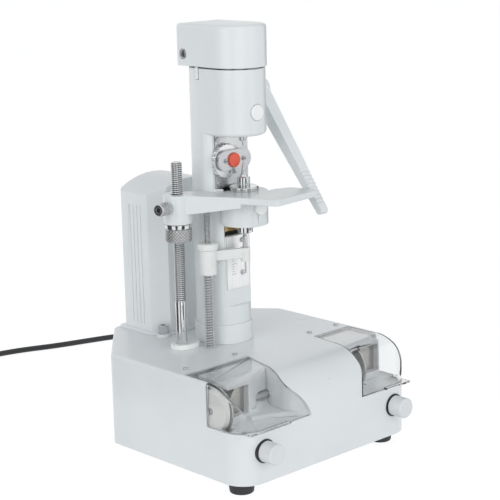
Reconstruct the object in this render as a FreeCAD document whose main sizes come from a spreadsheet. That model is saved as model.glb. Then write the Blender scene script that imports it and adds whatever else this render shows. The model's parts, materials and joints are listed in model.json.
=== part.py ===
import FreeCAD, Part
import math
import os
import Sketcher
from FreeCAD import Placement, Rotation, Vector

# Lens drilling machine. Millimetres, X to the right, Y to the back, Z up.
# Lengths are measured from the column's axis, with the floor at z = 0. Each finished piece is then
# moved along Y, so that the origin lies under the middle of the machine.

SIZES = [
    # Base casing
    ("base_half", 117.0, "half width of the base"),
    ("base_front", 149.0, "column axis to the front face"),
    ("base_rear", 114.0, "column axis to the rear face"),
    ("rear_half", 52.0, "half width of the rear face"),
    ("side_end", 38.0, "where the slanted rear corner starts"),
    ("plateau", 105.0, "height of the flat top"),
    ("base_floor", 13.0, "lower rim of the casing, above the floor"),
    ("corner_radius", 25.0, "front corners in plan"),
    ("brow_radius", 46.0, "curve from the top to the front face"),
    ("base_wall", 3.5, "casing wall"),
    ("edge_round", 3.0, "rounding of the top edge"),
    ("rear_round", 10.0, "rounding of the rear corners"),
    ("plate_thickness", 2.0, "bottom plate"),
    ("plate_gap", 0.3, "gap round a fitted plate"),
    ("boss_radius", 6.0, "screw bosses of the casing"),
    ("boss_side_x", 100.0, "side bosses"),
    ("boss_side_y", 10.0, "side bosses"),
    ("boss_rear_x", 34.0, "rear bosses"),
    ("boss_rear_y", 98.0, "rear bosses"),
    ("boss_front_x", 8.0, "front boss"),
    ("boss_front_y", 134.0, "front boss"),
    ("front_boss_top", 88.0, "upper end of the front boss"),
    ("base_screw_radius", 2.0, "screws of the bottom plate"),
    ("base_screw_head", 3.8, "head radius of those screws"),
    ("base_screw_height", 3.0, "head height of those screws"),
    ("base_screw_depth", 12.0, "length of their threads"),
    ("foot_radius", 13.0, "rubber foot at its top"),
    ("foot_taper", 1.5, "how much smaller the foot is below"),
    ("foot_x", 96.0, "front feet"),
    ("foot_front", 124.0, "front feet"),
    ("foot_rear_x", 72.0, "rear feet"),
    ("foot_rear", 70.0, "rear feet"),
    ("foot_recess", 4.3, "recess for the screw of a foot"),
    ("foot_screw_seat", 7.0, "seat of that screw"),
    ("foot_round", 1.5, "lower edge of a foot"),
    ("wire_hole", 8.0, "wire holes under the column and housing"),
    # Work stations in the front of the base
    ("station_floor", 62.8, "top of the station floor"),
    ("station_skin", 2.8, "thickness of the station floor"),
    ("station_back", 66.0, "rear edge of the station opening"),
    ("station_side", 101.0, "where the opening reaches the side"),
    ("side_rail", 4.0, "side wall left beside the opening"),
    ("station_gap", 0.5, "gap round the station pieces"),
    ("shield_wall", 2.2, "clear shield"),
    ("shield_lift", 1.0, "gap between the shield and the hood"),
    ("shield_rest", 0.4, "gap under the shield"),
    ("left_border", 31.0, "inner border of the left station, rear"),
    ("left_waist", 45.5, "the same border where it bows in"),
    ("left_waist_y", 126.0, "the same point, from the column"),
    ("left_neck", 41.5, "border of the left station, front of the bow"),
    ("left_neck_y", 138.5, "the same point, from the column"),
    ("left_bow", 12.0, "radius of that bow"),
    ("left_mouth", 27.0, "the same border at the front"),
    ("right_border", 61.0, "inner border of the right station, rear"),
    ("right_waist", 54.2, "the same border where it bows in"),
    ("right_waist_y", 134.0, "the same point, from the column"),
    ("right_neck", 48.5, "border of the right station, front of the bow"),
    ("right_neck_y", 143.5, "the same point, from the column"),
    ("right_bow", 14.0, "radius of that bow"),
    ("right_mouth", 42.6, "the same border at the front"),
    ("fascia", 115.0, "front of both hoods"),
    ("hood_side", 102.0, "outer side of both hoods"),
    ("right_hood_side", 105.0, "outer side of the right hood"),
    ("station_play", 1.5, "gap between the hoods and the turning barrels"),
    ("window_inner", 76.0, "inner edge of the left window"),
    ("window_sill", 70.0, "lower edge of both windows"),
    ("window_top", 96.5, "upper edge of both windows"),
    ("window_back", 84.0, "depth of both windows"),
    ("right_window_inner", 66.0, "inner edge of the right window"),
    ("right_window_outer", 103.0, "outer edge of the right window"),
    ("hood_cheek", 1.5, "wall beside the windows"),
    ("scoop_floor", 68.0, "lowest point of the left scoop"),
    ("scoop_left", 75.0, "outer side of the scoop"),
    ("scoop_middle", 52.0, "rear corner of the scoop"),
    ("scoop_middle_y", 103.0, "rear corner of the scoop"),
    ("scoop_right", 20.0, "inner side of the scoop"),
    ("scoop_right_y", 96.0, "inner side of the scoop"),
    ("chute_left", 78.0, "outer end of the chute"),
    ("chute_left_y", 121.0, "outer end of the chute"),
    ("chute_right", 20.0, "inner end of the chute"),
    ("chute_right_y", 150.6, "inner end of the chute"),
    ("scoop_round", 9.0, "hollow rounding of the scoop"),
    ("lip_reach", 4.0, "finger lip of the shield"),
    ("lip_root", 9.0, "finger lip inside the front face"),
    ("lip_outer", 110.0, "outer end of both lips"),
    ("lip_left_inner", 58.0, "inner end of the left lip"),
    ("lip_right_inner", 75.0, "inner end of the right lip"),
    ("lip_thickness", 2.0, "finger lip of the shield"),
    ("hinge_radius", 1.2, "hinge pins of the shields"),
    ("deck_front", 54.0, "screws behind the shields"),
    ("deck_left_inner", 36.0, "screws behind the left shield"),
    ("deck_left_outer", 100.0, "screws behind the left shield"),
    ("deck_right_inner", 68.0, "screws behind the right shield"),
    ("deck_right_outer", 107.0, "screws behind the right shield"),
    ("knuckle_radius", 2.4, "barrels on the shields"),
    ("knuckle_y", 69.6, "hinge axis"),
    ("knuckle_z", 101.8, "hinge axis"),
    ("pin_end", 2.0, "hinge pins behind the outer face"),
    ("pin_seat", 2.4, "hinge pins in the inner walls"),
    ("running_gap", 0.05, "radial clearance of a running fit"),
    ("guide_thickness", 1.5, "guide plates behind the windows"),
    ("guide_y", 107.0, "front of the guide plates"),
    ("guide_left", 98.0, "left end of the left guide plate"),
    ("right_guide_left", 78.0, "left end of the right guide plate"),
    ("guide_notch_right", 88.0, "right end of the notch"),
    ("guide_notch_low", 93.0, "bottom of the notch"),
    ("guide_notch_z", 86.0, "bottom of the notches"),
    ("guide_step", 3.5, "lower corner beside the notch"),
    ("guide_play", 1.5, "guide plates below the window edge"),
    ("notch_width", 6.0, "notch in the left guide plate"),
    # Disc drive
    ("disc_y", 102.0, "disc axis"),
    ("disc_z", 77.0, "disc axis"),
    ("disc_radius", 22.0, "steel discs"),
    ("disc_thickness", 1.4, "steel discs"),
    ("disc_room", 0.8, "room round the discs"),
    ("disc_slot", 3.0, "slot for the right disc"),
    ("slot_margin", 0.3, "slot for the left disc and wheel"),
    ("shaft_room", 1.0, "room round the shaft in the walls"),
    ("wheel_gap", 0.8, "felt wheel to the side wall"),
    ("wheel_radius", 20.0, "felt wheel"),
    ("wheel_width", 7.0, "felt wheel"),
    ("disc_shaft_radius", 3.0, "disc shaft"),
    ("disc_motor_radius", 20.0, "disc motor"),
    ("disc_motor_left", 28.0, "left end of the disc motor"),
    ("disc_motor_right", 40.0, "right end of the disc motor"),
    ("motor_neck_left", 7.0, "left bearing of the disc motor"),
    ("motor_neck_right", 12.5, "right bearing of the disc motor"),
    ("motor_stand", 24.0, "stand of the disc motor"),
    ("right_disc_x", 75.0, "right steel disc"),
    ("bearing_radius", 8.0, "ball bearings of the disc shaft"),
    # Front knobs
    ("knob_x", 89.0, "knob axes"),
    ("knob_z", 44.0, "knob axes"),
    ("knob_radius", 10.0, "knobs"),
    ("knob_length", 15.8, "knobs"),
    ("knob_round", 1.5, "front edge of the knobs"),
    ("knob_depth", 11.0, "bore of the knobs"),
    ("knob_gap", 1.4, "knob to the front face"),
    ("knob_ring", 11.4, "dark washer behind each knob"),
    ("knob_ring_width", 1.0, "dark washer behind each knob"),
    ("ring_seat", 1.8, "seat of that washer in the front face"),
    ("knob_shaft", 3.0, "shaft of each knob"),
    ("pot_radius", 8.0, "speed regulators"),
    ("pot_depth", 12.0, "speed regulators"),
    ("pot_bush", 4.0, "threaded bush of a regulator"),
    ("pot_gap", 1.2, "gap between a regulator and the wall"),
    # Rear motor housing
    ("housing_half", 46.0, "half width of the rear housing"),
    ("housing_front", 46.0, "front face of the rear housing"),
    ("housing_rear", 105.0, "rear face of the rear housing"),
    ("housing_corner", 14.0, "slanted front corners"),
    ("housing_side_top", 250.0, "side walls' height above the floor"),
    ("housing_crown", 14.0, "rise of the arched roof"),
    ("housing_wall", 3.0, "wall of the rear housing"),
    ("housing_round", 6.0, "rear corners of the housing"),
    ("flange_reach", 2.5, "foot flange of the housing"),
    ("flange_height", 3.5, "foot flange of the housing"),
    ("ear_x", 41.5, "screw ears of the flange"),
    ("ear_y", 46.5, "screw ears of the flange"),
    ("ear_radius", 7.0, "screw ears of the flange"),
    ("groove_pitch", 5.6, "grooves in the housing's sides"),
    ("groove_width", 1.6, "grooves in the housing's sides"),
    ("groove_depth", 1.0, "grooves in the housing's sides"),
    ("groove_middle", 79.0, "grooves in the housing's sides"),
    ("groove_low", 115.0, "lower end of the grooves"),
    ("groove_high", 238.0, "upper end of the grooves"),
    ("cap_radius", 5.0, "head of a hexagon socket screw"),
    ("cap_height", 7.5, "head of a hexagon socket screw"),
    ("cap_socket", 2.9, "hexagon socket, radius"),
    ("cap_thread", 3.0, "thread radius of that screw"),
    ("housing_hole_y", 94.0, "wire hole under the housing"),
    ("cap_length", 12.0, "bosses for those screws"),
    ("washer_radius", 6.0, "washer under that screw"),
    ("washer_thickness", 1.2, "washer under that screw"),
    # Column and drilling head
    ("column_radius", 27.7, "column and head side"),
    ("column_bore", 19.0, "bore of the column"),
    ("socket_radius", 29.4, "ring at the column's foot"),
    ("socket_height", 19.5, "ring at the column's foot"),
    ("socket_web", 3.0, "floor of that ring"),
    ("head_bottom", 315.0, "lower face of the head"),
    ("head_top", 379.5, "upper face of the head"),
    ("head_reach", 28.0, "column axis to the middle of the head's nose"),
    ("head_round", 4.5, "rounding under the head"),
    ("badge_seat", 1.3, "seat of the cap in the nose"),
    ("chamber_radius", 13.0, "bore of the quill spring"),
    ("channel_left", 12.0, "room of the crank"),
    ("channel_right", 22.0, "room of the crank"),
    ("channel_front", 8.0, "room of the crank before the drill axis"),
    ("channel_rear", 8.0, "room of the crank behind its shaft"),
    ("channel_drop", 17.0, "room of the crank under its shaft"),
    ("stem_gap", 0.4, "room round the stop stem"),
    ("drill_y", 34.0, "column axis to drill axis"),
    ("throat_flat", 16.0, "column axis to the milled throat"),
    ("throat_low", 262.0, "lower end of the throat"),
    ("facet", 22.4, "column axis to the lower milled flat"),
    ("facet_low", 143.0, "lower end of the milled flat"),
    ("slot_half", 16.3, "half width of the guide slot"),
    ("slot_low", 214.0, "lower end of the guide slot"),
    ("slot_back", 14.0, "column axis to the bottom of the slot"),
    ("socket_screw_ring", 23.3, "screws under the column"),
    # Quill, spindle and feed
    ("quill_radius", 10.0, "quill"),
    ("quill_bottom", 317.0, "quill at rest"),
    ("quill_top", 362.0, "quill at rest"),
    ("collar_radius", 12.9, "collar at the top of the quill"),
    ("collar_height", 7.0, "collar at the top of the quill"),
    ("quill_waist", 5.5, "wider bore between the bushes"),
    ("bush_length", 12.0, "bushes of the spindle in the quill"),
    ("quill_spring_radius", 11.45, "quill spring, middle of the wire"),
    ("quill_wire", 0.5, "quill spring"),
    ("spring_seat", 325.0, "floor of the quill spring's bore"),
    ("spindle_radius", 4.0, "spindle in its bearings"),
    ("spline_radius", 3.0, "upper end of the spindle"),
    ("spindle_top", 400.0, "upper end of the spindle"),
    ("chuck_radius", 3.6, "chuck"),
    ("chuck_bottom", 309.0, "chuck"),
    ("bit_radius", 0.75, "drill bit"),
    ("bit_bottom", 303.0, "drill bit"),
    ("bit_grip", 3.0, "drill bit in the chuck"),
    ("lever_y", 4.0, "feed shaft"),
    ("lever_z", 351.0, "feed shaft"),
    ("feed_shaft_radius", 4.0, "feed shaft"),
    ("crank_x", 16.6, "inner face of the crank"),
    ("crank_thickness", 4.4, "crank"),
    ("crank_radius", 7.0, "hub of the crank"),
    ("pin_radius", 2.0, "drive pin of the quill"),
    ("pin_stub", 0.6, "drive pin beyond the crank"),
    ("pin_play", 0.3, "drive pin in its slot"),
    ("slot_play", 0.4, "length of that slot"),
    ("crank_tip", 1.2, "crank beyond the drill axis"),
    ("crank_end", 4.4, "end radius of the crank"),
    ("sleeve_radius", 9.0, "bearing sleeve of the feed shaft"),
    ("sleeve_end", 49.5, "outer end of that sleeve"),
    ("lever_x", 51.0, "inner face of the lever"),
    ("lever_root_width", 15.0, "lever at its root, along X"),
    ("lever_tip_width", 9.5, "lever at its tip, along X"),
    ("lever_root_depth", 14.5, "lever at its root, across"),
    ("lever_tip_depth", 8.0, "lever at its tip, across"),
    ("lever_length", 148.0, "feed shaft to the lever's tip"),
    ("lever_angle", 51.5, "lever below the horizontal, degrees"),
    ("grip_radius", 1.6, "finger grooves"),
    ("grip_end", 12.0, "first groove from the tip"),
    ("grip_pitch", 4.4, "finger grooves"),
    ("grip_lift", 1.0, "grooves above the surface"),
    ("grip_slope", 0.1, "grooves follow the taper"),
    ("lever_hub", 10.5, "hub of the lever"),
    # Drill motor and belt drive
    ("motor_radius", 14.5, "drill motor"),
    ("motor_bottom", 308.0, "drill motor"),
    ("motor_top", 370.0, "drill motor"),
    ("motor_plate", 3.0, "plate that carries the drill motor"),
    ("motor_ledge", 21.0, "ledge for that plate, radius"),
    ("motor_shaft", 1.6, "shaft of the drill motor"),
    ("motor_shaft_low", 350.0, "lower end of that shaft"),
    ("motor_boss", 5.0, "bearing boss of the drill motor"),
    ("bearing_plate", 3.0, "plate on top of the head"),
    ("bearing_inset", 3.0, "that plate inside the head outline"),
    ("lug_root", 14.0, "lugs for the cover screws"),
    ("lug_half", 5.0, "lugs for the cover screws"),
    ("pulley_radius", 12.5, "rims of both pulleys"),
    ("pulley_groove", 10.5, "bottom of the belt groove"),
    ("pulley_low", 387.0, "lower face of both pulleys"),
    ("pulley_width", 10.0, "both pulleys"),
    ("pulley_hub", 5.0, "hub of the spindle pulley"),
    ("pulley_boss", 2.0, "hub below the motor pulley"),
    ("belt_thickness", 1.6, "drive belt"),
    ("belt_width", 5.0, "drive belt"),
    ("belt_gap", 0.3, "belt to groove"),
    # Belt cover
    ("cover_half", 29.3, "half width of the belt cover"),
    ("cover_low", 381.0, "lower rim of the belt cover"),
    ("cover_high", 421.5, "top of the belt cover"),
    ("cover_rear", 28.5, "rear wall of the belt cover"),
    ("cover_wall", 2.4, "wall of the belt cover"),
    ("cover_round", 3.5, "top edge of the belt cover"),
    ("cover_corner", 6.0, "rear corners of the belt cover"),
    ("cover_screw_y", 17.0, "side screws of the belt cover"),
    ("cover_screw_z", 392.3, "side screws of the belt cover"),
    ("cover_screw_radius", 5.2, "side screws of the belt cover"),
    ("cover_recess", 3.6, "depth of the side recess"),
    ("cover_seat", 2.0, "wall under the screw head"),
    ("cover_boss", 7.0, "boss behind the side recess"),
    ("locating_x", 27.2, "locating pin beside the head"),
    ("locating_y", 1.0, "locating pin beside the head"),
    ("locating_radius", 2.0, "locating pin beside the head"),
    ("locating_low", 369.0, "locating pin beside the head"),
    ("locating_gap", 0.6, "room round the locating pin"),
    ("badge_radius", 7.8, "round cap on the head's nose"),
    ("badge_z", 338.0, "round cap on the head's nose"),
    ("badge_height", 2.6, "round cap on the nose"),
    # Throat plate and lens stop
    ("throat_half", 21.5, "half width of the throat plate"),
    ("throat_plate", 2.0, "thickness of the throat plate"),
    ("throat_screw_x", 18.7, "screws of the throat plate"),
    ("throat_screw_low", 267.0, "screws of the throat plate"),
    ("throat_screw_high", 310.3, "screws of the throat plate"),
    ("small_screw_head", 2.6, "small pan heads"),
    ("small_screw_height", 1.5, "small pan heads"),
    ("small_screw_radius", 1.4, "thread of the small screws"),
    ("small_screw_depth", 7.0, "thread length of the small screws"),
    ("dial_x", 11.0, "stop dial"),
    ("dial_z", 289.0, "stop dial"),
    ("dial_radius", 17.5, "stop dial"),
    ("dial_thickness", 4.6, "stop dial"),
    ("dial_gap", 0.4, "stop dial to throat plate"),
    ("stem_radius", 4.0, "stem of the lens stop"),
    ("stem_back", 6.0, "rear end of the stem"),
    ("bar_left", 15.9, "left round end of the stop bar"),
    ("bar_right", 7.7, "right round end of the stop bar"),
    ("bar_z", 290.0, "stop bar"),
    ("bar_radius", 10.0, "round ends of the stop bar"),
    ("bar_thickness", 3.0, "stop bar"),
    ("bar_gap", 0.6, "stop bar to dial"),
    ("lug_left", 8.0, "lug under the stop bar"),
    ("lug_right", 1.0, "lug under the stop bar"),
    ("lug_drop", 3.5, "lug under the stop bar"),
    ("bar_screw_radius", 2.2, "screw heads on the bar"),
    ("bar_screw_height", 1.4, "screw heads on the bar"),
    ("button_x", 5.6, "release button"),
    ("button_radius", 7.0, "release button"),
    ("button_height", 3.0, "release button"),
    ("button_seat", 2.0, "recess of the release button"),
    ("button_travel", 1.2, "press of the release button"),
    # Post, table and lens rest
    ("post_x", 55.0, "post axis"),
    ("post_y", 2.0, "post axis"),
    ("post_radius", 5.75, "post"),
    ("post_top", 291.3, "post"),
    ("post_low", 93.0, "lower end of the post"),
    ("post_round", 1.5, "upper edge of the post"),
    ("post_boss_radius", 10.0, "boss under the plateau"),
    ("post_boss_depth", 8.0, "boss under the plateau"),
    ("foot_flange_radius", 11.5, "flange at the post's foot"),
    ("foot_flange_height", 5.0, "flange at the post's foot"),
    ("foot_flange_length", 8.0, "flange at the post's foot"),
    ("table_top", 260.0, "lens table"),
    ("wing_thickness", 6.5, "wing of the lens table"),
    ("wing_a_x", 30.0, "wing corner at the arm"),
    ("wing_a_y", 60.5, "wing corner at the arm"),
    ("wing_b_x", 15.5, "front left corner of the wing"),
    ("wing_b_y", 96.5, "front left corner of the wing"),
    ("wing_c_x", 48.5, "front right corner of the wing"),
    ("wing_c_y", 88.5, "front right corner of the wing"),
    ("wing_d_x", 41.0, "rear right corner of the wing"),
    ("wing_d_y", 57.0, "rear right corner of the wing"),
    ("wing_e_x", 25.0, "rear edge of the wing"),
    ("wing_e_y", 52.0, "rear edge of the wing"),
    ("arm_thickness", 19.0, "arm at the clamp"),
    ("arm_slope", 8.8, "rise of the arm underside, degrees"),
    ("arm_back_a", 20.0, "rear edge of the arm"),
    ("arm_back_a_y", 21.0, "rear edge of the arm"),
    ("arm_back_b", 29.0, "rear edge of the arm"),
    ("arm_back_b_y", 3.0, "rear edge of the arm"),
    ("clamp_radius", 14.2, "clamp round the post"),
    ("clamp_bottom", 231.3, "clamp round the post"),
    ("hub_radius", 23.5, "hub under the lens rest"),
    ("hub_bottom", 227.0, "hub under the lens rest"),
    ("column_gap", 0.6, "table to column"),
    ("rest_flange", 14.5, "flange of the lens rest"),
    ("rest_flange_height", 4.5, "flange of the lens rest"),
    ("rest_radius", 6.2, "neck of the lens rest"),
    ("rest_neck_top", 273.7, "neck of the lens rest"),
    ("rest_cone_radius", 4.0, "cone of the lens rest"),
    ("rest_waist_radius", 2.2, "hollow of that cone"),
    ("rest_waist", 277.0, "hollow of that cone"),
    ("rest_tip_radius", 1.3, "cone of the lens rest"),
    ("rest_tip", 284.5, "cone of the lens rest"),
    ("rest_shank", 6.0, "shank of the lens rest"),
    ("rest_bottom", 217.5, "shank of the lens rest"),
    ("ring_radius", 8.0, "collar under the hub"),
    ("ring_height", 8.5, "collar under the hub"),
    ("set_screw_radius", 1.8, "set screw of that collar"),
    ("hub_cap_radius", 7.3, "round cap on the hub"),
    ("hub_cap_height", 3.8, "round cap on the hub"),
    ("hub_cap_seat", 1.3, "seat of the cap in the hub"),
    ("hub_cap_z", 245.8, "round cap on the hub"),
    ("key_half", 15.9, "half width of the brass key"),
    ("key_low", 219.5, "brass key"),
    ("key_high", 250.0, "brass key"),
    ("lock_tilt", 10.0, "lock screw towards the front, degrees"),
    ("lock_z", 248.5, "lock screw"),
    ("lock_radius", 6.0, "knurled head of the lock screw"),
    ("lock_shank", 2.5, "thread of the lock screw"),
    ("lock_socket", 2.6, "hexagon socket of the lock screw"),
    ("lock_socket_depth", 5.0, "hexagon socket of the lock screw"),
    ("lock_start", 15.6, "knurled head, from the post's axis"),
    ("lock_end", 29.5, "knurled head, from the post's axis"),
    ("nut_radius", 13.3, "height nut"),
    ("nut_bottom", 213.5, "height nut"),
    ("nut_height", 13.0, "height nut"),
    ("neck_radius", 13.2, "polished ring on the height nut"),
    ("neck_height", 4.3, "polished ring on the height nut"),
    # Centring pin and its guide
    ("rod_x", 35.0, "guide rod"),
    ("rod_y", 17.7, "guide rod"),
    ("rod_radius", 3.25, "guide rod"),
    ("rod_low", 98.0, "guide rod"),
    ("rod_play", 0.7, "blind hole round the guide rod"),
    ("rod_top", 244.0, "guide rod"),
    ("rod_headroom", 10.0, "blind hole above the guide rod"),
    ("stop_nut_radius", 10.1, "stop nut of the pin"),
    ("stop_nut_bottom", 204.2, "stop nut of the pin"),
    ("stop_nut_height", 6.5, "stop nut of the pin"),
    ("slider_radius", 8.25, "slider on the guide rod"),
    ("slider_bottom", 179.5, "slider on the guide rod"),
    ("slider_top", 203.8, "slider on the guide rod"),
    ("pin_arm_low", 192.5, "arm of the slider"),
    ("pin_arm_high", 202.5, "arm of the slider"),
    ("pin_arm_thickness", 4.6, "arm of the slider"),
    ("bush_radius", 4.8, "bush at the arm's end"),
    ("bush_bottom", 189.0, "bush at the arm's end"),
    ("needle_radius", 0.85, "centring pin"),
    ("needle_gap", 0.1, "centring pin in the lens rest"),
    ("needle_step", 203.0, "seat of the pin on its bush"),
    ("needle_tip", 288.1, "centring pin"),
    ("needle_tail", 177.0, "centring pin"),
    ("pin_body_radius", 2.4, "thick part of the centring pin"),
    ("pin_body_length", 11.0, "thick part of the centring pin"),
    ("pin_shaft_radius", 1.5, "middle part of the centring pin"),
    ("pin_shaft_drop", 11.0, "middle part below the rest neck"),
    ("coil_radius", 4.9, "pin spring, middle of the wire"),
    ("wire_radius", 0.6, "pin spring"),
    ("scale_half", 15.0, "half width of the scale plate"),
    ("scale_low", 160.0, "scale plate"),
    ("scale_high", 213.4, "scale plate"),
    ("scale_thickness", 1.0, "scale plate"),
    ("scale_screw_x", 6.0, "screws of the scale plate"),
    ("scale_screw_low", 175.0, "screws of the scale plate"),
    ("scale_screw_high", 208.0, "screws of the scale plate"),
    # Mains cord
    ("cord_radius", 3.3, "mains cord"),
    ("gland_x", 30.0, "cord gland"),
    ("gland_z", 38.0, "cord gland"),
    ("gland_radius", 7.5, "cord gland"),
    ("gland_reach", 13.0, "cord gland"),
    ("gland_neck", 5.5, "neck of the gland in the wall"),
    ("gland_collar", 3.0, "collar of the gland"),
    ("plug_axis", 8.0, "plug lying on the floor"),
    ("plug_half", 12.5, "plug"),
    ("plug_length", 44.0, "plug"),
    ("plug_neck", 4.5, "plug at the cord"),
    ("plug_taper", 12.0, "plug at the cord"),
    ("plug_pin_radius", 2.4, "pins of the plug"),
    ("plug_pin_length", 19.0, "pins of the plug"),
    ("plug_pin_spread", 9.5, "pins of the plug"),
]


# Named sizes


class Size:
    """A size that knows its value and the sheet expression that it comes from."""

    def __init__(self, value, text):
        self.value = value
        self.text = text

    @staticmethod
    def of(other):
        if isinstance(other, Size):
            return other
        return Size(float(other), f"{float(other):.6f}")

    def __add__(self, other):
        other = Size.of(other)
        return Size(self.value + other.value, f"({self.text} + {other.text})")

    def __radd__(self, other):
        return Size.of(other) + self

    def __sub__(self, other):
        other = Size.of(other)
        return Size(self.value - other.value, f"({self.text} - {other.text})")

    def __rsub__(self, other):
        return Size.of(other) - self

    def __mul__(self, other):
        other = Size.of(other)
        return Size(self.value * other.value, f"({self.text} * {other.text})")

    def __rmul__(self, other):
        return Size.of(other) * self

    def __truediv__(self, other):
        other = Size.of(other)
        return Size(self.value / other.value, f"({self.text} / {other.text})")

    def __neg__(self):
        return Size(-self.value, f"(0 - {self.text})")


def square_root(size):
    return Size(math.sqrt(size.value), f"sqrt({size.text})")


class Sheet:
    """The driving dimensions, as cells of a spreadsheet and as Size attributes."""

    def __init__(self, document, rows):
        sheet = document.addObject("Spreadsheet::Sheet", "Sizes")
        for number, (alias, value, meaning) in enumerate(rows, start=1):
            sheet.set(f"A{number}", alias)
            sheet.set(f"B{number}", str(value))
            sheet.set(f"C{number}", meaning)
            sheet.setAlias(f"B{number}", alias)
            setattr(self, alias, Size(value, f"Sizes.{alias}"))
        document.recompute()


DOC = FreeCAD.newDocument("lens_drilling_machine")
s = Sheet(DOC, SIZES)

FRAME_SHIFT = (s.base_front + s.knob_gap + s.knob_length - s.base_rear) / 2

UPRIGHT = Rotation()
ALONG_X = Rotation(Vector(0, 1, 0), 90)
TO_FRONT = Rotation(Vector(1, 0, 0), 90)
TO_BACK = Rotation(Vector(1, 0, 0), -90)
SIDE_VIEW = Rotation(Vector(1, 1, 1), 120)
FRONT_VIEW = Rotation(Vector(1, 0, 0), 90)
NODES = {}


# Tools of the model


def bind(target, path, size):
    target.setExpression(path, Size.of(size).text)


def place(target, at=(0, 0, 0), turn=UPRIGHT):
    """Put an object at sizes taken from the column's axis and the floor."""
    target.Placement = Placement(Vector(*[Size.of(part).value for part in at]), turn)
    for axis, part in zip("xyz", at):
        bind(target, f"Placement.Base.{axis}", part)
    return target


def node(label, target):
    """Name a finished piece and move it into the machine's own frame."""
    held = dict(target.ExpressionEngine).get(".Placement.Base.y", "0")
    bind(target, "Placement.Base.y", Size(0, f"({held} + {FRAME_SHIFT.text})"))
    target.Label = label
    NODES[label] = target
    return target


def corner(point):
    return Vector(Size.of(point[0]).value, Size.of(point[1]).value, 0)


def arc_through(start, end, radius):
    """An arc from start to end; a positive radius turns left, a negative one right."""
    chord = end - start
    half = chord.Length / 2
    normal = Vector(-chord.y, chord.x, 0).normalize()
    side = 1 if radius > 0 else -1
    height = math.sqrt(max(radius * radius - half * half, 0.0))
    centre = (start + end) / 2 + normal * (side * height)
    middle = centre - normal * (side * abs(radius))
    return Part.Arc(start, middle, end)


def size_the_arc(sketch, edge, start, end, radius):
    """Fix an arc by its radius, or a half circle by the place of its centre."""
    chord = corner(end) - corner(start)
    if abs(chord.Length / 2 - abs(radius.value)) > 1e-6:
        size = radius if radius.value > 0 else -radius
        rule = sketch.addConstraint(Sketcher.Constraint("Radius", edge, size.value))
        bind(sketch, f"Constraints[{rule}]", size)
        return
    kind, part = ("DistanceY", 1) if abs(chord.x) > abs(chord.y) else ("DistanceX", 0)
    middle = (Size.of(start[part]) + end[part]) / 2
    rule = sketch.addConstraint(Sketcher.Constraint(kind, -1, 1, edge, 3, middle.value))
    bind(sketch, f"Constraints[{rule}]", middle)


def draw_loop(sketch, points):
    """Draw a closed loop of (u, v) or (u, v, radius) corners, tied to the sheet."""
    count = len(points)
    edges = []
    for index in range(count):
        start = points[index]
        end = points[(index + 1) % count]
        if len(end) == 3:
            radius = Size.of(end[2])
            edge = sketch.addGeometry(arc_through(corner(start), corner(end), radius.value), False)
            size_the_arc(sketch, edge, start, end, radius)
            edges.append((edge, 1, 2) if radius.value > 0 else (edge, 2, 1))
        else:
            line = Part.LineSegment(corner(start), corner(end))
            edges.append((sketch.addGeometry(line, False), 1, 2))
    for index, (edge, first, last) in enumerate(edges):
        following = edges[(index + 1) % count]
        sketch.addConstraint(Sketcher.Constraint("Coincident", edge, last, following[0], following[1]))
    for (edge, first, last), point in zip(edges, points):
        for kind, part in (("DistanceX", point[0]), ("DistanceY", point[1])):
            part = Size.of(part)
            rule = sketch.addConstraint(Sketcher.Constraint(kind, -1, 1, edge, first, part.value))
            bind(sketch, f"Constraints[{rule}]", part)


def draw_hole(sketch, u, v, radius):
    radius = Size.of(radius)
    circle = Part.Circle(corner((u, v)), Vector(0, 0, 1), radius.value)
    edge = sketch.addGeometry(circle, False)
    for kind, part in (("DistanceX", u), ("DistanceY", v)):
        part = Size.of(part)
        rule = sketch.addConstraint(Sketcher.Constraint(kind, -1, 1, edge, 3, part.value))
        bind(sketch, f"Constraints[{rule}]", part)
    rule = sketch.addConstraint(Sketcher.Constraint("Radius", edge, radius.value))
    bind(sketch, f"Constraints[{rule}]", radius)


def new_sketch(body, plane):
    sketch = body.newObject("Sketcher::SketchObject", f"{body.Name}_outline")
    support = next(item for item in body.Origin.OriginFeatures if item.Role == plane)
    sketch.AttachmentSupport = [(support, "")]
    sketch.MapMode = "FlatFace"
    return sketch


def extruded(name, points, height, at=(0, 0, 0), turn=UPRIGHT, holes=()):
    """A body padded upwards from a closed outline."""
    body = DOC.addObject("PartDesign::Body", name)
    sketch = new_sketch(body, "XY_Plane")
    draw_loop(sketch, points)
    for hole in holes:
        draw_hole(sketch, *hole)
    pad = body.newObject("PartDesign::Pad", f"{name}_pad")
    pad.Profile = sketch
    bind(pad, "Length", height)
    return place(body, at, turn)


def turned(name, profile, at=(0, 0, 0), turn=UPRIGHT):
    """A body turned about its own Z axis from a closed (radius, height) profile."""
    body = DOC.addObject("PartDesign::Body", name)
    sketch = new_sketch(body, "XZ_Plane")
    draw_loop(sketch, profile)
    round_body = body.newObject("PartDesign::Revolution", f"{name}_turn")
    round_body.Profile = sketch
    round_body.ReferenceAxis = (sketch, ["V_Axis"])
    round_body.Angle = 360
    return place(body, at, turn)


def rounded(body, radius, chosen):
    """Round the edges of a body that a rule picks."""
    DOC.recompute()
    feature = body.Tip
    edges = enumerate(feature.Shape.Edges, start=1)
    fillet = body.newObject("PartDesign::Fillet", f"{body.Name}_round")
    fillet.Base = (feature, [f"Edge{number}" for number, edge in edges if chosen(edge)])
    bind(fillet, "Radius", radius)
    return body


def box(name, low, high, turn=UPRIGHT):
    block = DOC.addObject("Part::Box", name)
    for path, first, last in zip(("Length", "Width", "Height"), low, high):
        bind(block, path, Size.of(last) - first)
    return place(block, low, turn)


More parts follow.
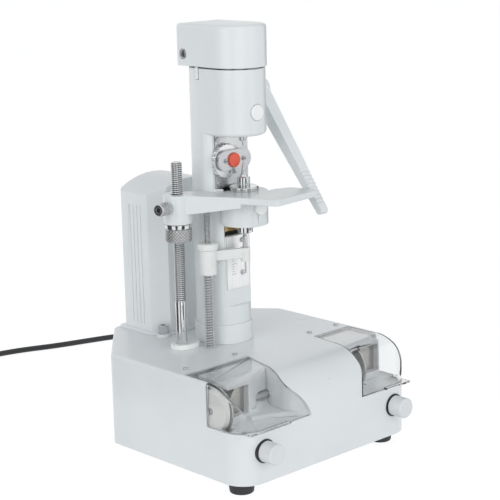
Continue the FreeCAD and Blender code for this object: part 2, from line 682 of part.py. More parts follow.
def cylinder(name, radius, height, at=(0, 0, 0), turn=UPRIGHT):
    rod = DOC.addObject("Part::Cylinder", name)
    bind(rod, "Radius", radius)
    bind(rod, "Height", height)
    return place(rod, at, turn)


def hexagon(name, radius, height, at=(0, 0, 0), turn=UPRIGHT):
    prism = DOC.addObject("Part::Prism", name)
    prism.Polygon = 6
    bind(prism, "Circumradius", radius)
    bind(prism, "Height", height)
    return place(prism, at, turn)


def fused(name, *pieces):
    union = DOC.addObject("Part::MultiFuse", name)
    union.Shapes = list(pieces)
    return union


def shared(name, *pieces):
    overlap = DOC.addObject("Part::MultiCommon", name)
    overlap.Shapes = list(pieces)
    return overlap


def cut(name, base, *tools):
    result = DOC.addObject("Part::Cut", name)
    result.Base = base
    result.Tool = tools[0] if len(tools) == 1 else fused(f"{name}_tools", *tools)
    return result


def group(name, pieces):
    """Several separate solids of the same kind."""
    compound = DOC.addObject("Part::Compound", name)
    compound.Links = list(pieces)
    return compound


def tube(name, outer, bore, low, high, at=(0, 0, 0), turn=UPRIGHT):
    return turned(name, [(bore, low), (outer, low), (outer, high), (bore, high)], at, turn)


def slotted_screw(name, head, head_height, shank, length, at, turn=UPRIGHT):
    """A screw with a slotted head, whose seat lies at the given place."""
    solid = turned(f"{name}_form", [
        (0, -length),
        (shank, -length),
        (shank, 0),
        (head, 0),
        (head, head_height * 0.6),
        (head * 0.75, head_height),
        (0, head_height),
    ])
    half_slot = head * 0.16
    slot = box(f"{name}_slot", (-head, -half_slot, head_height * 0.55), (head, half_slot, head_height * 2))
    return place(cut(name, solid, slot), at, turn)


def machine_screw(name, at, turn=UPRIGHT):
    return slotted_screw(name, s.base_screw_head, s.base_screw_height, s.base_screw_radius,
                         s.base_screw_depth, at, turn)


def small_screw(name, at, turn=UPRIGHT):
    return slotted_screw(name, s.small_screw_head, s.small_screw_height, s.small_screw_radius,
                         s.small_screw_depth, at, turn)


def is_upright(edge):
    first, last = edge.Vertexes[0].Point, edge.Vertexes[-1].Point
    return abs(first.x - last.x) < 1e-6 and abs(first.y - last.y) < 1e-6 and abs(first.z - last.z) > 1


def lies_at(edge, height):
    return all(abs(edge.valueAt(edge.FirstParameter + part * (edge.LastParameter - edge.FirstParameter)).z
                   - height) < 1e-4 for part in (0, 0.37, 0.5, 1))


# Base casing


def plan_points(inset):
    """The base seen from above, drawn in by a distance."""
    slant = math.atan2((s.base_rear - s.side_end).value, (s.base_half - s.rear_half).value)
    side = s.base_half - inset
    front = s.base_front - inset
    rear = s.base_rear - inset
    radius = s.corner_radius - inset
    side_end = s.side_end - inset * math.tan((math.pi / 2 - slant) / 2)
    rear_half = s.rear_half - inset * math.tan(slant / 2)
    return [
        (side - radius, -front),
        (side, -(front - radius), radius),
        (side, side_end),
        (rear_half, rear),
        (-rear_half, rear),
        (-side, side_end),
        (-side, -(front - radius)),
        (-(side - radius), -front, radius),
    ]


def base_form(name, inset, low, edge_round=None, flat_round=None):
    """The casing's form with its curved brow, drawn in by a distance, from a given height up.

    The first rounding runs down both ends of the brow, and the second stays on the flat rim."""
    inset = Size.of(inset)
    front = s.base_front - inset
    brow = s.brow_radius - inset
    top = s.plateau - inset - low
    body = extruded(name, plan_points(inset), top, (0, 0, low))
    rounded(body, s.rear_round - inset, lambda edge: is_upright(edge) and edge.CenterOfMass.y > 0)
    if flat_round is not None:
        rounded(body, flat_round, lambda edge: lies_at(edge, top.value))
    beyond = 5
    sketch = new_sketch(body, "YZ_Plane")
    draw_loop(sketch, [
        (-front, top - brow),
        (-(front - brow), top, -brow),
        (-(front - brow), top + beyond),
        (-(front + beyond), top + beyond),
        (-(front + beyond), top - brow),
    ])
    pocket = body.newObject("PartDesign::Pocket", f"{name}_brow")
    pocket.Profile = sketch
    pocket.SideType = "Symmetric"
    bind(pocket, "Length", s.base_half * 4)
    if edge_round is not None:
        brow_start = -(front - brow).value
        brow_foot = (top - brow).value

        def rims_the_top(edge):
            middle = edge.valueAt((edge.FirstParameter + edge.LastParameter) / 2)
            across = abs(middle.y - brow_start) < 1e-3 and abs(middle.x) < 1
            flat = lies_at(edge, top.value) and not across
            beside_brow = middle.y < brow_start - 1 and middle.z > brow_foot + 1 and abs(middle.x) > 20
            return flat or beside_brow

        rounded(body, edge_round, rims_the_top)
    return body


class Station:
    """One work station in the front of the base, by the sizes of its inner border."""

    def __init__(self, label, side, border, waist, neck, mouth, bow):
        self.label = label
        self.side = side
        self.border = border
        self.waist = waist
        self.neck = neck
        self.mouth = mouth
        self.bow = bow

    def outline(self, gap):
        """The opening seen from above, drawn in by a gap."""
        side = self.side
        beyond = side * (s.base_half + 10)
        reach = 7
        far = -(s.base_front + reach)
        slope = (self.neck[0] - self.mouth) / (self.neck[1] - s.base_front)
        rail = side * (s.base_half - s.side_rail - gap)
        return [
            (rail, -(s.station_back + gap)),
            (side * (self.border + gap), -(s.station_back + gap)),
            (side * (self.waist[0] + gap), -self.waist[1]),
            (side * (self.neck[0] + gap), -self.neck[1], -side * self.bow),
            (side * (self.mouth + gap), -s.base_front),
            (side * (self.mouth + slope * reach + gap), far),
            (beyond, far),
            (beyond, -(s.station_side + gap)),
            (rail, -(s.station_side + gap)),
        ]

    def border_at(self, y):
        """The inner border's distance from the middle plane at a place behind the bow."""
        share = (y - s.station_back) / (self.waist[1] - s.station_back)
        return self.border + (self.waist[0] - self.border) * share

    def room(self, name, gap, low, high=None):
        top = s.plateau + 15 if high is None else high
        return extruded(name, self.outline(gap), top - low, (0, 0, low))


LEFT = Station("left", -1, s.left_border, (s.left_waist, s.left_waist_y), (s.left_neck, s.left_neck_y),
               s.left_mouth, s.left_bow)
RIGHT = Station("right", 1, s.right_border, (s.right_waist, s.right_waist_y), (s.right_neck, s.right_neck_y),
                s.right_mouth, s.right_bow)

PLATE_SCREWS = [
    (-s.boss_side_x, s.boss_side_y),
    (s.boss_side_x, s.boss_side_y),
    (-s.boss_rear_x, s.boss_rear_y),
    (s.boss_rear_x, s.boss_rear_y),
    (s.boss_front_x, -s.boss_front_y),
]
FEET = [
    (-s.foot_x, -s.foot_front),
    (s.foot_x, -s.foot_front),
    (-s.foot_rear_x, s.foot_rear),
    (s.foot_rear_x, s.foot_rear),
]
COLUMN_SCREWS = [(s.socket_screw_ring * math.cos(turn), s.socket_screw_ring * math.sin(turn))
                 for turn in (math.radians(45 + 90 * quarter) for quarter in range(4))]
DECK_SCREWS = [
    (-s.deck_left_outer, -s.deck_front),
    (-s.deck_left_inner, -s.deck_front),
    (s.deck_right_inner, -s.deck_front),
    (s.deck_right_outer, -s.deck_front),
]
HOUSING_SCREWS = [(-s.ear_x, s.ear_y), (s.ear_x, s.ear_y)]


def disc_slots(name):
    """Slots under the wheel and the discs, with the same room all round."""
    reach = s.disc_radius + s.disc_room
    left = box(f"{name}_left",
               (-(s.base_half - s.side_rail) + s.slot_margin, -s.disc_y - reach, s.disc_z - reach),
               (-(s.hood_side + s.slot_margin), -s.disc_y + reach, s.disc_z + reach))
    right = box(f"{name}_right", (s.right_disc_x - s.disc_slot / 2, -s.disc_y - reach, s.disc_z - reach),
                (s.right_disc_x + s.disc_slot / 2, -s.disc_y + reach, s.disc_z + reach))
    return left, right


def base_casing():
    inner_roof = s.plateau - s.base_wall
    shell_low = s.base_floor
    outer = base_form("casing_form", 0, shell_low, flat_round=s.edge_round)
    inner = base_form("casing_hollow", s.base_wall, shell_low - 1)
    shell = cut("casing_shell", outer, inner)
    pieces = [shell]
    tools = []
    floor_low = s.station_floor - s.station_skin
    for station in (LEFT, RIGHT):
        grown = station.room(f"{station.label}_walls", -s.station_skin, floor_low)
        pieces.append(shared(f"{station.label}_block", outer, grown))
        tools.append(station.room(f"{station.label}_opening", 0, s.station_floor))
        start = station.side * (s.base_half - s.pin_end)
        border = station.side * (station.border_at(s.knuckle_y) - s.pin_seat)
        first, last = (start, border) if station.side < 0 else (border, start)
        tools.append(cylinder(f"{station.label}_pin_hole", s.hinge_radius, last - first,
                              (first, -s.knuckle_y, s.knuckle_z), ALONG_X))
    for number, (x, y) in enumerate(PLATE_SCREWS, start=1):
        roof = inner_roof + 1 if number < 5 else s.front_boss_top
        low = shell_low + s.plate_thickness
        pieces.append(cylinder(f"plate_boss_{number}", s.boss_radius, roof - low, (x, y, low)))
        tools.append(cylinder(f"plate_boss_hole_{number}", s.base_screw_radius, s.base_screw_depth,
                              (x, y, low - 1)))
    post_boss = s.post_boss_depth
    pieces.append(cylinder("post_boss", s.post_boss_radius, post_boss + 1,
                           (-s.post_x, s.post_y, inner_roof - post_boss)))
    tools.append(cylinder("post_hole", s.post_radius, post_boss + s.base_wall * 2,
                          (-s.post_x, s.post_y, s.post_low)))
    tools.append(cylinder("rod_hole", s.rod_radius, s.base_wall * 3, (-s.rod_x, -s.rod_y, s.rod_low)))
    tools.append(cylinder("wire_hole", s.wire_hole, s.base_wall * 3, (0, 0, inner_roof - s.base_wall)))
    tools.append(cylinder("housing_wire_hole", s.wire_hole, s.base_wall * 3,
                          (0, s.housing_hole_y, inner_roof - s.base_wall)))
    for number, (x, y) in enumerate(COLUMN_SCREWS, start=1):
        tools.append(cylinder(f"column_hole_{number}", s.base_screw_radius, s.base_wall * 2,
                              (x, y, inner_roof - 1)))
    for number, (x, y) in enumerate(HOUSING_SCREWS, start=1):
        pieces.append(cylinder(f"ear_boss_{number}", s.boss_radius, s.cap_length,
                               (x, y, s.plateau - s.cap_length)))
        tools.append(cylinder(f"ear_hole_{number}", s.cap_thread, s.cap_length + 2,
                              (x, y, s.plateau - s.cap_length)))
    for number, (x, y) in enumerate(DECK_SCREWS, start=1):
        pieces.append(cylinder(f"deck_boss_{number}", s.small_screw_head, s.small_screw_depth,
                               (x, y, s.plateau - s.small_screw_depth - 1)))
        tools.append(cylinder(f"deck_hole_{number}", s.small_screw_radius, s.small_screw_depth + 1,
                              (x, y, s.plateau - s.small_screw_depth)))
    for name, side in (("left", -1), ("right", 1)):
        at = (side * s.knob_x, -(s.base_front - s.ring_seat), s.knob_z)
        tools.append(cylinder(f"{name}_ring_seat", s.knob_ring + s.running_gap, s.ring_seat * 3, at,
                              TO_FRONT))
        behind = (side * s.knob_x, -(s.base_front - s.base_wall * 2), s.knob_z)
        tools.append(cylinder(f"{name}_bush_hole", s.pot_bush, s.base_wall * 3, behind, TO_FRONT))
    tools.append(cylinder("gland_hole", s.gland_neck, s.base_wall * 3,
                          (s.gland_x, s.base_rear - s.base_wall * 2, s.gland_z), TO_BACK))
    tools.append(cylinder("disc_shaft_hole", s.disc_shaft_radius + s.shaft_room,
                          s.right_disc_x + s.left_border, (-s.left_waist, -s.disc_y, s.disc_z), ALONG_X))
    tools.extend(disc_slots("floor_slot"))
    node("base_casing", cut("base_casing", fused("casing_solid", *pieces), *tools))


def bottom_plate_and_feet():
    low = s.base_floor
    inset = s.base_wall + s.plate_gap
    spots = PLATE_SCREWS + FEET
    plate = extruded("plate_form", plan_points(inset), s.plate_thickness, (0, 0, low))
    rounded(plate, s.rear_round - inset, lambda edge: is_upright(edge) and edge.CenterOfMass.y > 0)
    holes = [cylinder(f"plate_hole_{number}", s.base_screw_radius, s.plate_thickness * 3, (x, y, low - 1))
             for number, (x, y) in enumerate(spots, start=1)]
    node("bottom_plate", cut("bottom_plate", plate, *holes))
    feet = []
    for number, (x, y) in enumerate(FEET, start=1):
        small = s.foot_radius - s.foot_taper
        feet.append(turned(f"foot_{number}", [
            (s.foot_recess, 0),
            (small - s.foot_round, 0),
            (small, s.foot_round, s.foot_round),
            (s.foot_radius, low),
            (s.base_screw_radius, low),
            (s.base_screw_radius, s.foot_screw_seat),
            (s.foot_recess, s.foot_screw_seat),
        ], (x, y, 0)))
    node("rubber_feet", group("rubber_feet", feet))
    turn_down = Rotation(Vector(1, 0, 0), 180)
    screws = [machine_screw(f"plate_screw_{number}", (x, y, low), turn_down)
              for number, (x, y) in enumerate(PLATE_SCREWS, start=1)]
    screws += [machine_screw(f"foot_screw_{number}", (x, y, s.foot_screw_seat), turn_down)
               for number, (x, y) in enumerate(FEET, start=1)]
    screws += [machine_screw(f"column_screw_{number}", (x, y, s.plateau - s.base_wall), turn_down)
               for number, (x, y) in enumerate(COLUMN_SCREWS, start=1)]
    deck = [small_screw(f"deck_screw_{number}", (x, y, s.plateau)) for number,
            (x, y) in enumerate(DECK_SCREWS)]
    corners = [(side * s.throat_screw_x, height) for side in (-1, 1)
               for height in (s.throat_screw_low, s.throat_screw_high)]
    deck += [small_screw(f"throat_screw_{number}", (x, -(s.throat_flat + s.throat_plate), z), TO_FRONT)
             for number, (x, z) in enumerate(corners)]
    deck += [small_screw(f"scale_screw_{number}", (s.scale_screw_x, -(s.facet + s.scale_thickness), z),
                         TO_FRONT)
             for number, z in enumerate((s.scale_screw_low, s.scale_screw_high))]
    node("small_screws", group("small_screws", deck))
    return screws


# Work stations


def hinge_room(name):
    """The space behind the hoods in which the shields' barrels turn."""
    wide = s.base_half + 5
    return box(name, (-wide, -(s.knuckle_y + s.knuckle_radius + s.station_play), s.station_floor - 1),
               (wide, -s.station_back + 5, s.plateau + 5))


def left_tray():
    far = s.base_front + 10
    wide = s.base_half + 5
    low = s.station_floor
    form = base_form("left_tray_form", s.shield_wall + s.shield_lift, low)
    block = shared("left_tray_block", form, LEFT.room("left_tray_plan", s.station_gap, low))
    top = s.plateau + 5
    chute_front = extruded("left_floor_front", [
        (-wide, -far),
        (-s.chute_right, -far),
        (-s.chute_right, -s.chute_right_y),
        (-s.chute_left, -s.chute_left_y),
        (-s.chute_left, -s.fascia),
        (-wide, -s.fascia),
    ], top - low + 1, (0, 0, low - 1))
    scoop = extruded("left_scoop", [
        (-s.scoop_left, -far),
        (-s.scoop_right, -far),
        (-s.scoop_right, -s.scoop_right_y),
        (-s.scoop_middle, -s.scoop_middle_y),
        (-s.scoop_left, -s.fascia),
    ], top - s.scoop_floor, (0, 0, s.scoop_floor))
    rounded(scoop, s.scoop_round,
            lambda edge: lies_at(edge, 0) and edge.CenterOfMass.y > -s.fascia.value - 2)
    hollow_wall = s.hood_cheek * 2
    hollow = extruded("left_hollow", [
        (-(s.window_inner - hollow_wall), -(s.knuckle_y + s.knuckle_radius + s.station_play + hollow_wall)),
        (-(s.window_inner - hollow_wall), -(s.fascia - hollow_wall * 2)),
        (-s.scoop_middle, -(s.scoop_middle_y - hollow_wall)),
        (-(LEFT.border_at(s.scoop_middle_y) + hollow_wall), -(s.scoop_middle_y - hollow_wall)),
        (-(LEFT.border_at(s.knuckle_y) + hollow_wall * 2), -(s.knuckle_y + s.knuckle_radius + s.station_play
                                                             + hollow_wall)),
    ], s.window_top - low, (0, 0, low))
    node("left_tray", cut(
        "left_tray", block,
        hinge_room("left_hinge_room"),
        box("left_channel", (-wide, -far, low - 1), (-s.hood_side, -s.station_back, top)),
        box("left_fascia", (-wide, -far, s.scoop_floor), (0, -s.fascia, top)),
        chute_front, scoop, hollow,
        box("left_window", (-(s.hood_side + 1), -(s.fascia + 1), s.window_sill),
            (-s.window_inner, -s.window_back, s.window_top)),
        cylinder("left_shaft_room", s.disc_shaft_radius + s.shaft_room, s.base_half,
                 (-s.base_half, -s.disc_y, s.disc_z), ALONG_X)))


def right_tray():
    far = s.base_front + 10
    wide = s.base_half + 5
    low = s.station_floor
    form = base_form("right_tray_form", s.shield_wall + s.shield_lift, low)
    block = shared("right_tray_block", form, RIGHT.room("right_tray_plan", s.station_gap, low))
    top = s.plateau + 5
    slot = box("right_disc_slot",
               (s.right_disc_x - s.disc_slot / 2, -s.disc_y - s.disc_radius - s.disc_room, low - 1),
               (s.right_disc_x + s.disc_slot / 2, -s.disc_y + s.disc_radius + s.disc_room,
                s.disc_z + s.disc_radius + s.disc_room))
    node("right_tray", cut(
        "right_tray", block,
        hinge_room("right_hinge_room"),
        box("right_channel", (s.right_hood_side, -far, low - 1), (wide, -s.station_back, top)),
        box("right_fascia", (0, -far, low - 1), (wide, -s.fascia, top)),
        box("right_window", (s.right_window_inner, -(s.fascia + 1), s.window_sill),
            (s.right_window_outer, -s.window_back, s.window_top)),
        slot,
        cylinder("right_shaft_room", s.disc_shaft_radius + s.shaft_room, s.right_disc_x + 10,
                 (0, -s.disc_y, s.disc_z), ALONG_X)))


def guide_plates():
    low = s.window_sill
    high = s.window_top - s.guide_play
    left = extruded("left_guide", [
        (-s.window_inner, low),
        (-s.window_inner, high),
        (-s.guide_notch_right, high),
        (-s.guide_notch_low, s.guide_notch_z),
        (-s.guide_left, high - s.guide_step),
        (-s.guide_left, low),
    ], s.guide_thickness, (0, -s.guide_y, 0), FRONT_VIEW)
    right = extruded("right_guide", [
        (s.right_window_outer, low),
        (s.right_window_outer, high),
        (s.right_guide_left + s.notch_width, high),
        (s.right_guide_left + s.notch_width / 2, s.guide_notch_z),
        (s.right_guide_left, high - s.guide_step),
        (s.right_guide_left, low),
    ], s.guide_thickness, (0, -s.guide_y, 0), FRONT_VIEW)
    node("guide_plates", group("guide_plates", [left, right]))


def shield(station):
    label = station.label
    low = s.station_floor + s.shield_rest
    outer = base_form(f"{label}_shield_form", 0, low, s.edge_round)
    plan = station.room(f"{label}_shield_plan", s.station_gap, low)
    skin = shared(f"{label}_shield_skin", outer, plan)
    first, last = (-s.lip_outer, -s.lip_left_inner) if station.side < 0 else (s.lip_right_inner, s.lip_outer)
    lip = box(f"{label}_lip", (first, -(s.base_front + s.lip_reach), low),
              (last, -(s.base_front - s.lip_root), low + s.lip_thickness))
    inner = base_form(f"{label}_shield_hollow", s.shield_wall, s.station_floor - 1)
    behind = box(f"{label}_shield_behind", (-s.base_half - 5, -s.knuckle_y, low - 5),
                 (s.base_half + 5, -s.station_back + 5, s.plateau + 5))
    border = station.side * (station.border_at(s.knuckle_y) + s.station_gap * 2)
    rail = station.side * (s.base_half - s.side_rail - s.station_gap)
    left_end, right_end = (rail, border) if station.side < 0 else (border, rail)
    at = (left_end, -s.knuckle_y, s.knuckle_z)
    barrel = cylinder(f"{label}_barrel", s.knuckle_radius, right_end - left_end, at, ALONG_X)
    bore_from = (left_end - s.pin_seat, -s.knuckle_y, s.knuckle_z)
    bore = cylinder(f"{label}_barrel_bore", s.hinge_radius + s.running_gap,
                    right_end - left_end + s.pin_seat * 2,
                    bore_from, ALONG_X)
    plate = cut(f"{label}_shield_plate", fused(f"{label}_shield_solid", skin, lip), inner, behind)
    node(f"{label}_shield", cut(f"{label}_shield", fused(f"{label}_shield_body", plate, barrel), bore))
    start = station.side * (s.base_half - s.pin_end)
    seat = station.side * (station.border_at(s.knuckle_y) - s.pin_seat)
    first, last = (start, seat) if station.side < 0 else (seat, start)
    return cylinder(f"{label}_shield_pin", s.hinge_radius, last - first,
                    (first, -s.knuckle_y, s.knuckle_z), ALONG_X)


def disc_drive():
    left_end = s.disc_motor_left + s.motor_neck_left
    right_end = s.disc_motor_right + s.motor_neck_right
    bore = s.disc_shaft_radius + s.running_gap
    motor = turned("disc_motor_form", [
        (bore, -left_end),
        (s.bearing_radius, -left_end),
        (s.bearing_radius, -s.disc_motor_left),
        (s.disc_motor_radius, -s.disc_motor_left),
        (s.disc_motor_radius, s.disc_motor_right),
        (s.bearing_radius, s.disc_motor_right),
        (s.bearing_radius, right_end),
        (bore, right_end),
    ], (0, -s.disc_y, s.disc_z), ALONG_X)
    low = s.base_floor + s.plate_thickness
    stand_half = s.motor_stand / 2
    stand = box("disc_motor_stand", (-s.disc_motor_left + 4, -s.disc_y - stand_half, low),
                (s.disc_motor_right - 4, -s.disc_y + stand_half, s.disc_z - s.disc_motor_radius * 0.7))
    node("disc_motor", fused("disc_motor", motor, stand))
    wheel_left = s.base_half - s.side_rail - s.wheel_gap
    shaft = cylinder("disc_shaft", s.disc_shaft_radius, wheel_left + s.right_disc_x + s.disc_thickness * 3,
                     (-wheel_left, -s.disc_y, s.disc_z), ALONG_X)
    node("disc_shaft", shaft)
    wheel = tube("felt_wheel", s.wheel_radius, s.disc_shaft_radius, -wheel_left, s.wheel_width - wheel_left,
                 (0, -s.disc_y, s.disc_z), ALONG_X)
    node("felt_wheel", wheel)
    half = s.disc_thickness / 2
    left_disc = s.wheel_width - wheel_left
    discs = [
        tube("left_disc", s.disc_radius, s.disc_shaft_radius, left_disc, left_disc + s.disc_thickness,
             (0, -s.disc_y, s.disc_z), ALONG_X),
        tube("right_disc", s.disc_radius, s.disc_shaft_radius, s.right_disc_x - half, s.right_disc_x + half,
             (0, -s.disc_y, s.disc_z), ALONG_X),
    ]
    node("steel_discs", group("steel_discs", discs))


def front_knobs():
    start = s.base_front - s.base_wall
    regulators = []
    for label, side in (("left", -1), ("right", 1)):
        at = (side * s.knob_x, -start, s.knob_z)
        ring_back = s.base_wall - s.ring_seat
        ring_front = s.base_wall + s.knob_ring_width
        face = s.base_wall + s.knob_gap
        regulators.append(turned(f"{label}_regulator", [
            (0, -s.pot_depth),
            (s.pot_radius, -s.pot_depth),
            (s.pot_radius, -s.pot_gap),
            (s.pot_bush, -s.pot_gap),
            (s.pot_bush, ring_back),
            (s.knob_ring, ring_back),
            (s.knob_ring, ring_front),
            (s.knob_shaft, ring_front),
            (s.knob_shaft, face + s.knob_depth - 1),
            (0, face + s.knob_depth - 1),
        ], at, TO_FRONT))
        knob = turned(f"{label}_knob", [
            (s.knob_shaft + s.running_gap, face),
            (s.knob_radius, face),
            (s.knob_radius, face + s.knob_length - s.knob_round),
            (s.knob_radius - s.knob_round, face + s.knob_length, s.knob_round),
            (0, face + s.knob_length),
            (0, face + s.knob_depth),
            (s.knob_shaft + s.running_gap, face + s.knob_depth),
        ], at, TO_FRONT)
        node(f"{label}_knob", knob)
    node("speed_regulators", group("speed_regulators", regulators))


# Rear housing


def housing_points(inset):
    half = s.housing_half - inset
    front = s.housing_front + inset
    rear = s.housing_rear - inset
    slant = s.housing_corner - inset * 0.4142
    return [
        (-(half - slant), front),
        (half - slant, front),
        (half, front + slant),
        (half, rear),
        (-half, rear),
        (-half, front + slant),
    ]


def housing_form(name, inset, low):
    """The housing under its arched roof, drawn in by a distance."""
    plan = extruded(f"{name}_plan", housing_points(inset), s.housing_side_top + s.housing_crown - low,
                    (0, 0, low))
    rounded(plan, s.housing_round - inset, lambda edge: is_upright(edge) and edge.CenterOfMass.y > 90)
    arch = (s.housing_half * s.housing_half + s.housing_crown * s.housing_crown) / (2 * s.housing_crown)
    half = s.housing_half - inset
    roof = arch - inset
    shoulder = s.housing_side_top + s.housing_crown - arch + square_root(roof * roof - half * half)
    profile = extruded(f"{name}_profile", [
        (-half, low),
        (half, low),
        (half, shoulder),
        (-half, shoulder, roof),
    ], s.housing_rear + 10 - s.housing_front, (0, s.housing_rear + 5, 0), FRONT_VIEW)
    return shared(name, plan, profile)


def rear_housing():
    low = s.plateau
    flange = extruded("housing_flange", housing_points(-s.flange_reach), s.flange_height, (0, 0, low))
    ears = [cylinder(f"housing_ear_{number}", s.ear_radius, s.flange_height, (x, y, low))
            for number, (x, y) in enumerate(HOUSING_SCREWS, start=1)]
    solid = fused("housing_solid", housing_form("housing_form", Size.of(0), low), flange, *ears)
    tools = [housing_form("housing_hollow", s.housing_wall, low - 1)]
    tools += [cylinder(f"housing_hole_{number}", s.cap_thread, s.flange_height * 3, (x, y, low - 1))
              for number, (x, y) in enumerate(HOUSING_SCREWS, start=1)]
    for side in (-1, 1):
        for step in (-1.5, -0.5, 0.5, 1.5):
            middle = s.groove_middle + s.groove_pitch * step
            start = s.housing_half - s.groove_depth if side > 0 else -s.housing_half - 1
            tools.append(box("housing_groove", (start, middle - s.groove_width / 2, s.groove_low),
                             (start + s.groove_depth + 1, middle + s.groove_width / 2, s.groove_high)))
    node("rear_housing", cut("rear_housing", solid, *tools))
    screws = []
    for number, (x, y) in enumerate(HOUSING_SCREWS, start=1):
        washer_top = s.washer_thickness
        form = turned(f"cap_form_{number}", [
            (0, -(s.cap_length - 1)),
            (s.cap_thread, -(s.cap_length - 1)),
            (s.cap_thread, 0),
            (s.washer_radius, 0),
            (s.washer_radius, washer_top),
            (s.cap_radius, washer_top),
            (s.cap_radius, washer_top + s.cap_height),
            (0, washer_top + s.cap_height),
        ])
        hole = hexagon(f"cap_socket_{number}", s.cap_socket, s.cap_height,
                       (0, 0, washer_top + s.cap_height / 2))
        screws.append(place(cut(f"cap_screw_{number}", form, hole), (x, y, low + s.flange_height)))
    node("housing_screws", group("housing_screws", screws))


# Column and drilling head


def column():
    low = s.plateau
    socket_base = turned("socket_form", [
        (s.wire_hole, low),
        (s.socket_radius, low),
        (s.socket_radius, low + s.socket_height - 1),
        (s.socket_radius - 1, low + s.socket_height),
        (s.column_radius, low + s.socket_height),
        (s.column_radius, low + s.socket_web),
        (s.wire_hole, low + s.socket_web),
    ])
    holes = [cylinder(f"socket_hole_{number}", s.base_screw_radius, s.socket_web * 3, (x, y, low - 1))
             for number, (x, y) in enumerate(COLUMN_SCREWS, start=1)]
    node("column_socket", cut("column_socket", socket_base, *holes))

    foot = low + s.socket_web
    radius = s.column_radius
    barrel = cylinder("column_barrel", radius, s.head_top - foot, (0, 0, foot))
    nose = extruded("head_nose", [
        (-radius, -s.head_reach),
        (radius, -s.head_reach, radius),
        (radius, 0),
        (-radius, 0, radius),
    ], s.head_top - s.head_bottom, (0, 0, s.head_bottom))
    rounded(nose, s.head_round, lambda edge: lies_at(edge, 0))
    sleeve = cylinder("feed_sleeve", s.sleeve_radius, s.sleeve_end - s.channel_right + 1,
                      (s.channel_right - 1, s.lever_y, s.lever_z), ALONG_X)
    wide = s.column_radius + 5
    far = -(s.column_radius + s.head_reach)
    channel_low = s.lever_z - s.channel_drop
    tools = [
        cylinder("column_bore", s.column_bore, s.motor_top - foot + 2, (0, 0, foot - 1)),
        cylinder("motor_ledge", s.motor_ledge, s.head_top - s.motor_top + 1, (0, 0, s.motor_top)),
        box("throat", (-wide, far, s.throat_low), (wide, -s.throat_flat, s.head_bottom)),
        box("lower_facet", (-wide, far, s.facet_low), (wide, -s.facet, s.throat_low)),
        box("key_slot", (-s.slot_half, far, s.slot_low), (s.slot_half, -s.slot_back, s.throat_low)),
        cylinder("quill_hole", s.quill_radius + s.running_gap, s.spring_seat - s.head_bottom + 5,
                 (0, -s.drill_y, s.head_bottom - 3)),
        cylinder("quill_chamber", s.chamber_radius, s.head_top - s.spring_seat + 1,
                 (0, -s.drill_y, s.spring_seat)),
        box("crank_channel", (s.channel_left, -(s.drill_y + s.channel_front), channel_low),
            (s.channel_right, s.lever_y + s.channel_rear, s.head_top + 1)),
        cylinder("feed_bore", s.feed_shaft_radius + s.running_gap, s.sleeve_end,
                 (s.channel_left, s.lever_y, s.lever_z),
                 ALONG_X),
        cylinder("hanging_groove", s.locating_radius + s.locating_gap,
                 s.head_top - s.locating_low + s.locating_gap + 2,
                 (-s.locating_x, -s.locating_y, s.locating_low - s.locating_gap)),
        cylinder("badge_seat", s.badge_radius + s.plate_gap, 8,
                 (0, -(s.head_reach + radius - s.badge_seat), s.badge_z),
                 TO_FRONT),
        cylinder("stem_room", s.stem_radius + s.stem_gap, s.throat_flat, (-s.dial_x, 0, s.dial_z), TO_FRONT),
    ]
    for side in (-1, 1):
        for height in (s.throat_screw_low, s.throat_screw_high):
            tools.append(cylinder("throat_hole", s.small_screw_radius, s.small_screw_depth,
                                  (side * s.throat_screw_x, -(s.throat_flat - s.small_screw_depth + 1),
                                   height), TO_FRONT))
    for height in (s.scale_screw_low, s.scale_screw_high):
        tools.append(cylinder("scale_hole", s.small_screw_radius, s.small_screw_depth,
                              (s.scale_screw_x, -(s.facet - s.small_screw_depth + 1), height), TO_FRONT))
    for number, (x, y) in enumerate(COLUMN_SCREWS, start=1):
        tools.append(cylinder(f"column_thread_{number}", s.base_screw_radius, s.base_screw_depth,
                              (x, y, foot - 1)))
    head = cut("column_head", fused("column_solid", barrel, nose, sleeve), *tools)
    node("column_head", head)
    badge = turned("nose_cap", [
        (0, 0),
        (s.badge_radius, 0),
        (s.badge_radius, s.badge_height - 1),
        (s.badge_radius - 1, s.badge_height),
        (0, s.badge_height),
    ], (0, -(s.head_reach + radius - s.badge_seat), s.badge_z), TO_FRONT)
    node("nose_cap", badge)


